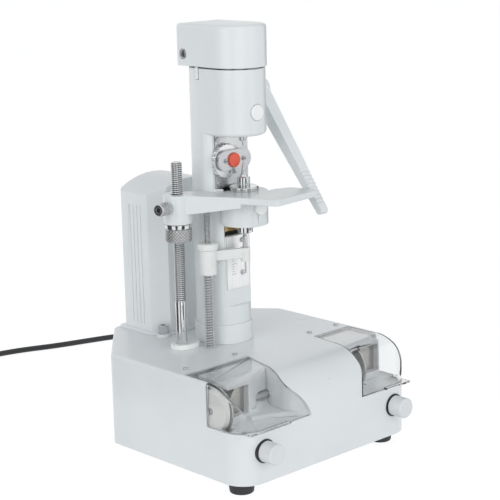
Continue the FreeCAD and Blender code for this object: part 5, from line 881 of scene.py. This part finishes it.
@dataclass
class Base(Assembly):
    """The casing with its stations, shields, discs, feet and knobs."""

    frame: dict[str, Any]
    palette: Palette
    knob_x: float = 89.0
    knob_z: float = 44.0
    knob_radius: float = 10.0
    knob_face: float = 149.0
    disc_y: float = -102.0
    disc_z: float = 77.0

    def __post_init__(self) -> None:
        """Reads the bodies and slots."""
        super().__init__(self.frame, self.palette)

    def build(self) -> None:
        """Dresses the base from the feet up."""
        pal = self.palette
        self.coat(pal.shell, "base_casing")
        # The trays take the darker enamel with painted shade.
        self.refine("left_tray", pal.inner, 0.9, 3)
        self.refine("right_tray", pal.inner, 0.9, 3)
        self.refine("left_shield", pal.clear, 0.45, 2)
        self.refine("right_shield", pal.clear, 0.45, 2)
        # The guide plates carry painted shade for the window recess.
        self.refine("guide_plates", pal.window, 0.15, 1)
        self.refine("rubber_feet", pal.rubber, 0.6)
        self.refine("small_screws", pal.satin, 0.15, 1)
        self.refine("speed_regulators", pal.black, 0.25, 1)
        self.coat(pal.plate, "bottom_plate")
        self.coat(pal.drawn, "shield_pins")
        self.coat(pal.dark, "disc_motor")
        self.coat(pal.drawn, "disc_shaft")
        self.discs()
        for side, name in ((-1, "left_knob"), (1, "right_knob")):
            self.knob(name, side)

    def knob(self, name: str, side: int) -> bpy.types.Object:
        """A plain knob with a soft rim and a shallow dish in its face, open behind for its shaft."""
        low, radius = 1.4, self.knob_radius
        profile = [(3.05, low), (radius - 0.2, low, 0.3), (radius, low + 0.5, 0.3), (radius, low + 14.6, 0.8),
                   (radius - 1.2, low + 15.8, 0.8), (radius - 2.2, low + 15.72, 0.4), (4.0, low + 15.45),
                   (0, low + 15.4)]
        piece = lathe(f"{name}_turned", profile, (side * self.knob_x, -self.knob_face, self.knob_z), Axis.FRONT,
                      self.palette.knob, 96)
        return self.stand_in(piece, name)

    def discs(self) -> None:
        """Thin steel discs with turned faces, and the felt wheel with a rounded tread."""
        centre = tuple(frame_point(0, self.disc_y, self.disc_z))
        steel = self.palette.turned("disc_steel", centre, Axis.RIGHT, (0.5, 0.5, 0.5), 0.24)
        self.refine("steel_discs", steel, 0.15, 1)
        self.refine("felt_wheel", self.palette.felt, 1.4, 4)


@dataclass
class Housing(Assembly):
    """The arched housing behind the column with its two screws."""

    frame: dict[str, Any]
    palette: Palette
    ear_x: float = 41.5
    ear_y: float = 46.5

    def __post_init__(self) -> None:
        """Reads the bodies and slots."""
        super().__init__(self.frame, self.palette)

    def build(self) -> None:
        """Dresses the housing, knurls the heads of its screws and paints the shade in their sockets with black
        hexagons.
        """
        self.refine("rear_housing", self.palette.shell, 0.45, 2)
        self.refine("housing_screws", self.palette.chrome, 0.25, 2)
        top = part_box("housing_screws")[1][2] / MM
        for side, name in ((-1, "left"), (1, "right")):
            at = (side * self.ear_x, self.ear_y, top)
            ring = knurled(f"{name}_cap_knurl", 5.2, 4.5, -7.2, -0.6, at, Axis.UP, self.palette.knurl, 28, 0.35, False)
            self.stand_in(ring, carrier="housing_screws")
            # Painted shade: a black hexagon fills each screw's socket where the hole lies in shade.
            socket_shade = lathe(f"{name}_cap_socket_shade", [(0, -2.8), (2.45, -2.8), (2.45, -0.9), (0, -0.9)], at, Axis.UP,
                         self.palette.black, 6)
            self.stand_in(socket_shade, carrier="housing_screws")


@dataclass
class Head(Assembly):
    """The column with its drilling head, belt drive, quill and lever."""

    frame: dict[str, Any]
    palette: Palette
    drill_y: float = -34.0

    def __post_init__(self) -> None:
        """Reads the bodies and slots."""
        super().__init__(self.frame, self.palette)

    def build(self) -> None:
        """Dresses the column from its foot to the belt cover."""
        pal = self.palette
        axis = tuple(frame_point(0, self.drill_y, 300))
        turned = pal.turned("drill_steel", axis, Axis.UP)
        self.refine("column_head", pal.column, 0.45, 3)
        self.refine("column_socket", pal.column, 0.5, 3)
        self.refine("belt_cover", pal.shell, 0.45, 3)
        self.refine("nose_cap", pal.white, 0.5, 3)
        self.refine("machine_screws", pal.screw, 0.15, 1)
        self.refine("feed_lever", pal.shell, 0.6, 3)
        self.refine("quill", turned, 0.3, 2)
        self.refine("spindle", turned, 0.2, 2)
        self.coat(pal.dark, "drill_motor", "feed_crank", "bearing_plate")
        self.coat(pal.satin, "motor_pulley", "spindle_pulley")
        self.coat(pal.belt, "drive_belt")
        self.bit()
        self.quill_spring()

    def bit(self) -> bpy.types.Object:
        """The drill bit: its section is an oval that turns once every nine millimetres, with a cone at the tip."""
        low, high, radius, lead = 303.3, 312.0, 0.75, 4.5
        level = np.linspace(0, high - low, 90)[:, None]
        turn = np.linspace(0, 2 * math.pi, 24, endpoint=False)[None, :]
        fluted = np.clip((6.5 - level) / 0.5, 0, 1)
        swing = turn - 2 * math.pi * level / lead
        span = radius * (1 - 0.42 * fluted * np.abs(np.sin(swing)) ** 1.5)
        tip = np.clip(level / 0.45, 0.02, 1)
        points = np.stack([span * tip * np.cos(turn), span * tip * np.sin(turn), level + low + 0 * turn], axis=-1)
        piece = grid_piece("drill_bit_fluted", placed(points, (0, self.drill_y, 0), Axis.UP), self.palette.satin,
                           ends=True, crease=math.radians(60))
        return self.stand_in(piece, "drill_bit")

    def quill_spring(self) -> bpy.types.Object:
        """The spring under the quill's collar."""
        piece = coil_spring("quill_spring_wound", (0, self.drill_y), 11.45, 0.5, 325.05, 354.95, 7, self.palette.drawn)
        self.stand_in(piece, "quill_spring")
        foot = frame_point(0, self.drill_y, 325)
        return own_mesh(piece)


def coil_spring(name: str, at: tuple[float, float], radius: float, wire: float, low: float, high: float,
                turns: float, material: bpy.types.Material) -> bpy.types.Object:
    """A compression spring: a helix whose first and last turns lie close.

    The height rises by a small step over each end turn and evenly over the turns between.

    Args:
        name: The piece's name.
        at: The axis's x and y in millimetres from the column.
        radius: Mean radius of the turns.
        wire: Radius of the wire.
        low: Underside of the spring.
        high: Top of the spring.
        turns: Number of turns.
        material: Its finish.

    Returns:
        The linked object.
    """
    turn = np.linspace(0, turns, int(turns * 28) + 1)
    dead = wire * 2 + 0.45
    inner = (high - low - 2 * wire - 2 * dead) / (turns - 2)
    rise = np.interp(turn, [0, 1, turns - 1, turns],
                     [0, dead, dead + inner * (turns - 2), 2 * dead + inner * (turns - 2)])
    angle = 2 * math.pi * turn
    path = np.stack([radius * np.cos(angle) + at[0], radius * np.sin(angle) + at[1] + COLUMN_Y,
                     low + wire + rise], axis=-1) * MM
    return tube_along(name, path, wire * MM, material)


@dataclass
class LensStop(Assembly):
    """The throat plate, the scalloped dial, the bar and its button."""

    frame: dict[str, Any]
    palette: Palette
    dial: tuple[float, float, float] = (-11.0, -18.4, 289.0)
    screws: tuple[float, float] = (-15.9, 7.7)

    def __post_init__(self) -> None:
        """Reads the bodies and slots."""
        super().__init__(self.frame, self.palette)

    def build(self) -> None:
        """Dresses the lens stop."""
        pal = self.palette
        self.refine("throat_plate", pal.plate, 0.25, 2)
        steel = pal.turned("dial_steel", tuple(frame_point(*self.dial)), Axis.FRONT, (0.9, 0.905, 0.91), 0.36)
        self.refine("stop_dial", steel, 0.5, 3)
        self.refine("stop_bar", pal.satin, 0.3, 2)
        self.refine("stop_button", pal.red, 0.5, 3)
        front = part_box("stop_bar")[0][1] / MM - COLUMN_Y
        for number, x in enumerate(self.screws):
            at = (x, front + 1.5, self.dial[2] + 1)
            profile = [(0, -0.5), (2.3, -0.5), (2.3, 0.9, 0.3), (1.7, 1.6, 0.3), (1.15, 1.6, 0.1), (1.15, 0.9), (0, 0.9)]
            head = lathe(f"bar_screw_{number + 1}", profile, at, Axis.FRONT, pal.screw, 48)
            self.stand_in(head, carrier="stop_bar")
            # Painted shade: a thin black hexagon on the floor of each screw head's recess.
            socket_shade = lathe(f"bar_socket_shade_{number + 1}", [(0, 0.85), (1.1, 0.95), (0, 0.96)], at, Axis.FRONT, pal.black, 6)
            self.stand_in(socket_shade, carrier="stop_bar")


@dataclass
class Table(Assembly):
    """The post with its nut, the lens table and what it carries."""

    frame: dict[str, Any]
    palette: Palette
    post: tuple[float, float] = (-55.0, 2.0)
    rest: tuple[float, float] = (0.0, -34.0)
    lock_z: float = 248.5
    lock_tilt: float = 10.0

    def __post_init__(self) -> None:
        """Reads the bodies and slots."""
        super().__init__(self.frame, self.palette)

    def build(self) -> None:
        """Dresses the post and the table."""
        pal = self.palette
        self.refine("table_arm", pal.table, 0.7, 3)
        self.refine("hub_cap", pal.white, 0.5, 3)
        self.refine("post_flange", pal.white, 0.7, 3)
        self.refine("brass_key", pal.brass, 0.4, 2)
        self.refine("hub_collar", pal.chrome, 0.35, 2)
        self.lens_rest()
        rod = screw_thread("post_threaded", 5.75, 0.75, 2.0, 93.0, 291.3, 152.0, (*self.post, 0), pal.threaded, 40)
        self.stand_in(rod, "post")
        self.height_nut()
        self.lock_screw()

    def lens_rest(self) -> None:
        """The rest: a turned flange and neck with a slender hollow point round the centring pin."""
        low, high = (corner[2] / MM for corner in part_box("lens_rest"))
        flange = 260.0
        profile = [(0.95, low), (6.0, low, 0.3), (6.0, flange), (14.5, flange, 0.2), (14.5, flange + 3.7, 0.3),
                   (13.7, flange + 4.5, 0.4), (12.6, flange + 4.5, 0.2), (12.3, flange + 4.3, 0.2), (6.2, flange + 4.3),
                   (6.2, 273.2, 0.2), (5.7, 273.7, 0.3), (4.0, 273.7, 0.3), (2.2, 277.0, 3.0), (1.25, high, 0.1),
                   (0.95, high)]
        centre = tuple(frame_point(self.rest[0], self.rest[1], flange))
        steel = self.palette.turned("rest_steel", centre, Axis.UP, (0.66, 0.67, 0.675), 0.1)
        piece = lathe("lens_rest_turned", profile, (*self.rest, 0), Axis.UP, steel, 96, True)
        self.stand_in(piece, "lens_rest")

    def height_nut(self) -> None:
        """The nut: a diamond-knurled ring under a polished neck."""
        pal = self.palette
        at = (*self.post, 0)
        ring = knurled("nut_knurl", 13.3, 5.85, 213.5, 226.3, at, Axis.UP, pal.knurl, 26, 0.7, True)
        self.stand_in(ring, "height_nut")
        neck = [(5.85, 226.0), (11.6, 226.0), (11.6, 226.9, 0.1), (13.2, 226.9, 0.3), (13.2, 230.75, 0.3),
                (5.85, 230.75)]
        self.stand_in(lathe("nut_neck", neck, at, Axis.UP, pal.chrome, 96, True), carrier="height_nut")

    def lock_screw(self) -> None:
        """The clamp's screw with straight knurling round its head, and a black hexagon in its socket as painted shade.
        """
        self.refine("lock_screw", self.palette.satin, 0.3, 2)
        ring = knurled("lock_knurl", 6.2, 5.4, 16.4, 28.4, (0, 0, 0), Axis.UP, self.palette.grip, 30, 0.5, False)
        # Painted shade: the black hexagon stands for the shade inside the hexagon socket.
        socket_shade = lathe("lock_socket_shade", [(0, 25.0), (2.3, 25.0), (2.3, 28.6), (0, 28.6)], (0, 0, 0), Axis.UP,
                     self.palette.black, 6)
        for piece in (ring, socket_shade):
            self.tilt_out(piece)
            self.stand_in(piece, carrier="lock_screw")

    def tilt_out(self, piece: bpy.types.Object) -> None:
        """Lays a piece that was made along Z on the lock screw's axis: z runs out from the post."""
        tilt = math.radians(self.lock_tilt)
        ahead = np.array([-math.cos(tilt), -math.sin(tilt), 0.0])
        side = np.array([-ahead[1], ahead[0], 0.0])
        turn = np.stack([side, np.cross(ahead, side), ahead])
        points = np.empty(len(piece.data.vertices) * 3)
        piece.data.vertices.foreach_get("co", points)
        local = points.reshape(-1, 3) - frame_point(0, 0, 0)
        moved = local @ turn + frame_point(self.post[0], self.post[1], self.lock_z)
        piece.data.vertices.foreach_set("co", moved.ravel())
        piece.data.update()


@dataclass
class Guide(Assembly):
    """The guide rod, its spring, slider, centring pin, stop nut and scale."""

    frame: dict[str, Any]
    palette: Palette
    rod: tuple[float, float] = (-35.0, -17.7)
    tick_x: float = -8.7
    tick_low: float = 175.0
    tick_high: float = 193.0
    facet: float = -23.4

    def __post_init__(self) -> None:
        """Reads the bodies and slots."""
        super().__init__(self.frame, self.palette)

    def build(self) -> None:
        """Dresses the centring gear."""
        pal = self.palette
        self.refine("slider", pal.nylon, 0.5, 3)
        self.refine("centring_pin", pal.drawn, 0.15, 1)
        self.refine("scale_plate", pal.scale, 0.2, 2)
        rod = screw_thread("guide_rod_threaded", 3.25, 0.4, 1.25, 98.0, 244.0, 204.0, (*self.rod, 0), pal.threaded, 28)
        self.stand_in(rod, "guide_rod")
        nut = knurled("stop_nut_knurl", 10.1, 3.35, 204.2, 210.7, (*self.rod, 0), Axis.UP, pal.nylon, 44, 0.3, False)
        self.stand_in(nut, "stop_nut")
        spring = coil_spring("pin_spring_wound", self.rod, 4.9, 0.6, 105.05, 179.45, 28, pal.chrome)
        self.stand_in(spring, "pin_spring")
        foot = frame_point(*self.rod, 105)
        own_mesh(spring)
        self.ticks()

    def ticks(self) -> bpy.types.Object:
        """Eight scale lines: the first, the fifth and the last are longer."""
        level = np.linspace(self.tick_low, self.tick_high, 8)
        long = np.isin(np.arange(8), (0, 4, 7))
        reach = np.where(long, 6.0, 3.6)
        low = np.stack([self.tick_x + 0 * level, self.facet - 0.06 + 0 * level, level - 0.16], axis=-1)
        high = np.stack([self.tick_x + reach, self.facet + 0.05 + 0 * level, level + 0.16], axis=-1)
        shift = np.array([0, COLUMN_Y, 0])
        piece = bars("scale_ticks", (low + shift) * MM, (high + shift) * MM, self.palette.ink)
        return self.stand_in(piece, carrier="scale_plate")


@dataclass
class PowerCord(Assembly):
    """The mains cord: out of its gland, along the floor, into a tied coil and its plug."""

    frame: dict[str, Any]
    palette: Palette
    radius: float = 3.3
    gland: Point = (30.0, 127.0, 38.0)
    middle: Point = (-75.0, 455.0, 3.3)
    outer: float = 38.0
    pitch: float = 7.2
    turns: float = 5.0
    plug_axis: float = 8.0

    def __post_init__(self) -> None:
        """Reads the bodies and slots."""
        super().__init__(self.frame, self.palette)

    def coil(self) -> np.ndarray:
        """Points of the coil, twelve to a turn: the turns close in on the floor and open out on top."""
        turn = np.linspace(0, self.turns, int(self.turns * 12) + 1)
        span = self.outer - self.pitch * np.minimum(turn, self.turns - turn)
        climb = np.clip((turn - 2.25) / 0.5, 0, 1)
        angle = -math.pi / 2 - 2 * math.pi * turn
        rise = self.pitch * climb * climb * (3 - 2 * climb)
        centre = np.array(self.middle)
        return centre + np.stack([span * np.cos(angle), span * np.sin(angle), rise], axis=-1)

    def route(self) -> np.ndarray:
        """The cord's control points from the gland to the plug, in millimetres from the column."""
        start = np.array(self.gland)
        down = self.radius - start[2]
        steps = [(0, 0, 0), (0, 26, -1), (8, 56, -20), (30, 86, 1 + down), (70, 116, down), (115, 141, down),
                 (147, 173, down), (149, 210, down), (126, 236, down), (84, 249, down), (38, 262, down),
                 (-4, 280, down), (-50, 289, down)]
        coil = self.coil()
        slope = self.pitch / (2 * math.pi * self.outer)
        ahead = np.array([-1.0, slope, 0]) / math.hypot(1, slope)
        away = np.array([-1.0, -slope, 0]) / math.hypot(1, slope)
        arrive = coil[0] - ahead * 24
        leave = coil[-1] + away * 22
        drop = self.plug_axis - coil[-1][2]
        tail = [leave, leave + np.array([-23, 2, drop]), leave + np.array([-47, 9, drop])]
        return np.concatenate([start + np.array(steps, float), [arrive], coil, tail])

    def build(self) -> None:
        points = self.route()
        curve = bpy.data.curves.new("power_cord", "CURVE")
        curve.dimensions = "3D"
        curve.bevel_depth = self.radius * MM
        curve.bevel_resolution = 5
        curve.resolution_u = 6
        curve.use_fill_caps = True
        line = curve.splines.new("NURBS")
        line.points.add(len(points) - 1)
        metres = (points + np.array([0, COLUMN_Y, 0])) * MM
        line.points.foreach_set("co", np.column_stack([metres, np.ones(len(metres))]).ravel())
        line.order_u = 3
        line.use_endpoint_u = True
        curve.materials.append(self.palette.sheath)
        cord = bpy.data.objects.new("power_cord", curve)
        bpy.context.scene.collection.objects.link(cord)
        self.stand_in(cord, "mains_cord", "cord_coil", "cord_tail")
        relief = self.relief()
        tie = self.tie()
        plug, pins = self.plug(points[-2], points[-1])

    def relief(self) -> bpy.types.Object:
        """The strain relief: a collar and a taper with five ribs."""
        x, _, z = self.gland
        profile = [(3.4, 0.2), (3.4, -6.5), (5.4, -6.5), (5.4, 0.05), (7.5, 0.05, 0.4), (7.5, 3.0, 0.5), (5.6, 3.6, 0.3)]
        for step in range(4):
            low = 4.4 + step * 2.1
            wide = 5.3 - step * 0.25
            profile += [(wide, low, 0.2), (wide, low + 1.2, 0.2), (wide - 0.6, low + 1.3, 0.1),
                        (wide - 0.6, low + 2.0, 0.1)]
        profile += [(4.3, 12.9, 0.2), (3.4, 13.0), (3.4, 0.2)]
        piece = lathe("strain_relief", profile, (0, 0, 0), Axis.UP, self.palette.sheath, 48, True)
        points = np.empty(len(piece.data.vertices) * 3)
        piece.data.vertices.foreach_get("co", points)
        local = points.reshape(-1, 3) - frame_point(0, 0, 0)
        turned = np.stack([-local[:, 0], local[:, 2], local[:, 1]], axis=-1) + frame_point(x, 114.0, z)
        piece.data.vertices.foreach_set("co", turned.ravel())
        piece.data.update()
        return self.stand_in(piece, "cord_gland")

    def tie(self) -> bpy.types.Object:
        """A strap round the turns on the coil's left side: a rounded box section with four corners by power."""
        inner, outer, high = self.outer - 2.25 * self.pitch - 3.9, self.outer - 0.25 * self.pitch + 3.8, 14.1
        half, rise = (outer - inner) / 2, high / 2 - 0.1
        turn = np.linspace(0, 2 * math.pi, 64, endpoint=False)
        power = 0.3
        across = half * np.sign(np.cos(turn)) * np.abs(np.cos(turn)) ** power
        level = rise * np.sign(np.sin(turn)) * np.abs(np.sin(turn)) ** power
        length = np.hypot(across, level)
        rows = []
        for width, thick in ((-5.0, 0.0), (-4.6, 0.5), (4.6, 0.5), (5.0, 0.0), (4.6, -0.1), (-4.6, -0.1)):
            grow = 1 + thick / length
            rows.append(np.stack([self.middle[0] - inner - half - across * grow,
                                  self.middle[1] + width + COLUMN_Y + 0 * turn,
                                  np.maximum(high / 2 + level * grow, 0.02)], axis=-1))
        piece = grid_piece("coil_tie", np.stack(rows) * MM, self.palette.tie, wrap_rows=True)
        return self.stand_in(piece, carrier="cord_coil")

    def plug(self, before: np.ndarray, start: np.ndarray) -> tuple[bpy.types.Object, bpy.types.Object]:
        """The plug: rounded sections carried along its axis, and two brass pins, each with a thicker sleeve at its
        root.

        Args:
            before: The cord's last point but one.
            start: Where the cord enters the plug.

        Returns:
            The body and the pins.
        """
        ahead = (start - before) * np.array([1, 1, 0])
        ahead = ahead / np.linalg.norm(ahead)
        side = np.array([-ahead[1], ahead[0], 0])
        stations = np.array([[0, 3.9, 3.9], [0.6, 4.3, 4.3], [9, 4.9, 4.9], [13, 6.5, 5.6], [18, 11.5, 7.0],
                             [20, 12.3, 7.5], [41, 12.3, 7.5], [43.4, 11.9, 7.2], [44, 11.2, 6.6]])
        fine = np.linspace(0, 44, 56)
        half = np.interp(fine, stations[:, 0], stations[:, 1])[:, None]
        high = np.interp(fine, stations[:, 0], stations[:, 2])[:, None]
        grip = 0.25 * np.clip(np.sin((fine - 22) / 17 * 6 * 2 * math.pi), 0, 1) * ((fine > 22) & (fine < 39))
        half = half - grip[:, None]
        turn = np.linspace(0, 2 * math.pi, 48, endpoint=False)[None, :]
        square = np.interp(fine, [0, 9, 20, 44], [1.0, 1.0, 0.55, 0.55])[:, None]
        across = half * np.sign(np.cos(turn)) * np.abs(np.cos(turn)) ** square
        level = high * np.sign(np.sin(turn)) * np.abs(np.sin(turn)) ** square
        points = (start + ahead * fine[:, None, None] + side * across[..., None]
                  + np.array([0, 0, 1]) * level[..., None] + np.array([0, COLUMN_Y, 0])) * MM
        body = grid_piece("plug_moulded", points, self.palette.sheath, ends=True)
        self.stand_in(body, "plug_body")
        length = np.array([0.02, 0.0, 8.0, 8.0, 17.6, 19.0])
        radius = np.array([0.0, 2.4, 2.4, 2.05, 2.05, 0.6])
        rows = []
        for offset in (-9.5, 9.5):
            ring = (start + ahead * (44 + length[:, None, None]) + side * (offset + radius[:, None] * np.cos(turn))[..., None]
                    + np.array([0, 0, 1]) * (radius[:, None] * np.sin(turn))[..., None] + np.array([0, COLUMN_Y, 0]))
            rows.append(ring * MM)
        count = rows[0].shape[0] * rows[0].shape[1]
        faces = grid_faces(rows[0].shape[0], rows[0].shape[1], False, True)
        last = np.arange(count - turn.shape[1], count)[None, :]
        merged = [face for shift in (0, count) for face in (faces + shift).tolist() + (last + shift).tolist()]
        pins = new_piece("plug_pins_turned", np.concatenate([r.reshape(-1, 3) for r in rows]), merged,
                         self.palette.brass)
        self.stand_in(pins, "plug_pins")
        return body, pins


@dataclass(frozen=True)
class Studio:
    """A pale floor, soft lights and the camera at the photograph's angle."""

    eye: Point = (-996.5, -1098.2, 530.4)
    bearing: float = 43.3
    pitch: float = 12.77
    roll: float = -1.34
    lens: float = 109.2
    card_bearings: tuple[tuple[float, float], ...] = ((-93.0, 15.0), (-150.0, 9.0), (150.0, 22.0), (12.0, 16.0))
    floor_share: float = 0.72
    floor_glow: float = 1.2
    horizon: Colour = (0.84, 0.85, 0.86)
    zenith: Colour = (0.44, 0.46, 0.475)

    def camera(self) -> None:
        """Places the camera: its axes come from bearing, pitch and roll."""
        bearing, pitch, roll = (math.radians(v) for v in (self.bearing, self.pitch, self.roll))
        ahead = np.array([math.sin(bearing) * math.cos(pitch), math.cos(bearing) * math.cos(pitch), -math.sin(pitch)])
        level = np.array([math.cos(bearing), -math.sin(bearing), 0.0])
        above = np.cross(level, ahead)
        right = math.cos(roll) * level + math.sin(roll) * above
        up = -math.sin(roll) * level + math.cos(roll) * above
        data = bpy.data.cameras.new("photo_camera")
        data.lens = self.lens
        data.sensor_width = 36.0
        data.clip_end = 60.0
        holder = bpy.data.objects.new("photo_camera", data)
        matrix = np.eye(4)
        matrix[:3, 0], matrix[:3, 1], matrix[:3, 2] = right, up, -ahead
        matrix[:3, 3] = frame_point(*self.eye)
        holder.matrix_world = Matrix(matrix.tolist())
        bpy.context.scene.collection.objects.link(holder)
        bpy.context.scene.camera = holder

    def backdrop(self, board: Board) -> Signal:
        """1 on the rays that show the backdrop: those of the camera, of mirrors and through clear parts."""
        seen = board.node("ShaderNodeLightPath")
        kinds = ("Is Camera Ray", "Is Glossy Ray", "Is Transmission Ray")
        first, second, third = (Signal(board, seen.outputs[kind]) for kind in kinds)
        return (first + second + third).limited()

    def floor(self) -> None:
        """A wide pale floor that shows white and keeps the shadow."""
        edge = np.linspace(-16, 16, 9)
        x, y = np.meshgrid(edge, edge, indexing="ij")
        points = np.stack([x, y, 0 * x], axis=-1)
        board = Board("floor_paper")
        grain = board.noise(board.place(), 3, 3)
        paper = board.node("ShaderNodeBsdfDiffuse", None,
                           {"Color": board.tint(grain, (0.9, 0.905, 0.91), (0.88, 0.885, 0.89))})
        glow = board.node("ShaderNodeEmission", None, {"Color": (1, 1, 1, 1), "Strength": self.floor_glow})
        mixed = board.node("ShaderNodeMixShader", None,
                           {0: self.backdrop(board) * self.floor_share, 1: paper.outputs[0], 2: glow.outputs[0]})
        board.node("ShaderNodeOutputMaterial", None, {"Surface": mixed.outputs[0]})
        piece = grid_piece("studio_floor", points, board.material, wrap_columns=False)

    def cards(self) -> None:
        """Dark cards round the machine that only mirrors see, so that bright metal has dark edges.

        Each card runs out along the floor and then stands up: its profile (distance, height) is carried
        over a sector about the machine.
        """
        board = Board("card_black")
        grain = board.noise(board.place(), 40, 2)
        board.surface(Base_Color=board.tint(grain, (0.05, 0.05, 0.055), (0.09, 0.09, 0.095)), Roughness=0.9)
        profile = np.array([(0.3, 0.004), (0.7, 0.004), (0.7, 0.75)])
        for number, (bearing, half) in enumerate(self.card_bearings):
            turn = np.radians(np.linspace(bearing - half, bearing + half, 9))[None, :]
            points = np.stack([profile[:, :1] * np.cos(turn), profile[:, :1] * np.sin(turn),
                               profile[:, 1:] + 0 * turn], axis=-1)
            card = grid_piece(f"mirror_card_{number + 1}", points, board.material, wrap_columns=False)
            card.visible_camera = False
            card.visible_diffuse = False
            card.visible_transmission = False
            card.visible_shadow = False

    def light(self, name: str, at: Point, size: float, power: float, mirrored: bool) -> None:
        """A square soft light that looks at the machine's middle; mirrored is whether mirrors show it."""
        data = bpy.data.lights.new(name, "AREA")
        data.size = size
        data.energy = power
        holder = bpy.data.objects.new(name, data)
        ahead = np.array([0.0, 0.0, 0.2]) - np.array(at)
        ahead = ahead / np.linalg.norm(ahead)
        right = np.cross(ahead, [0, 0, 1.0])
        right = right / np.linalg.norm(right)
        matrix = np.eye(4)
        matrix[:3, 0], matrix[:3, 1], matrix[:3, 2], matrix[:3, 3] = right, np.cross(right, ahead), -ahead, at
        holder.matrix_world = Matrix(matrix.tolist())
        holder.visible_glossy = mirrored
        bpy.context.scene.collection.objects.link(holder)

    def world(self) -> None:
        """A studio that is brighter at the horizon than overhead, and white where the backdrop shows."""
        world = bpy.data.worlds.new("studio")
        world.use_nodes = True
        bpy.context.scene.world = world
        board = Board("studio", world.node_tree)
        where = board.node("ShaderNodeTexCoord").outputs["Generated"]
        height = Signal(board, board.node("ShaderNodeSeparateXYZ", None, {0: where}).outputs[2])
        room = board.node("ShaderNodeBackground", None,
                          {"Color": board.tint(height.between(0.0, 0.9), self.horizon, self.zenith), "Strength": 1.0})
        white = board.node("ShaderNodeBackground", None, {"Color": (1, 1, 1, 1), "Strength": 1.0})
        mixed = board.node("ShaderNodeMixShader", None,
                           {0: self.backdrop(board), 1: room.outputs[0], 2: white.outputs[0]})
        board.node("ShaderNodeOutputWorld", None, {"Surface": mixed.outputs[0]})

    def build(self) -> None:
        """Sets up the whole studio."""
        bpy.context.scene.view_settings.view_transform = "Standard"
        self.camera()
        self.floor()
        self.cards()
        self.world()
        self.light("front_box", (-0.1, -2.1, 0.6), 1.5, 13.0, True)
        self.light("side_box", (-2.1, -0.3, 0.9), 1.4, 12.0, False)
        LOG.info("studio ready")


def main() -> None:
    """Loads the frame and builds every sub-assembly in order."""
    logging.basicConfig(level=logging.INFO, format="%(name)s: %(message)s", stream=sys.stdout)
    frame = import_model()
    Studio().build()
    palette = Palette()
    for part in (PowerCord, Base, Housing, Head, LensStop, Table, Guide):
        part(frame, palette).build()
        LOG.info("finished %s", part.__name__)


if __name__ == "__main__":
    main()
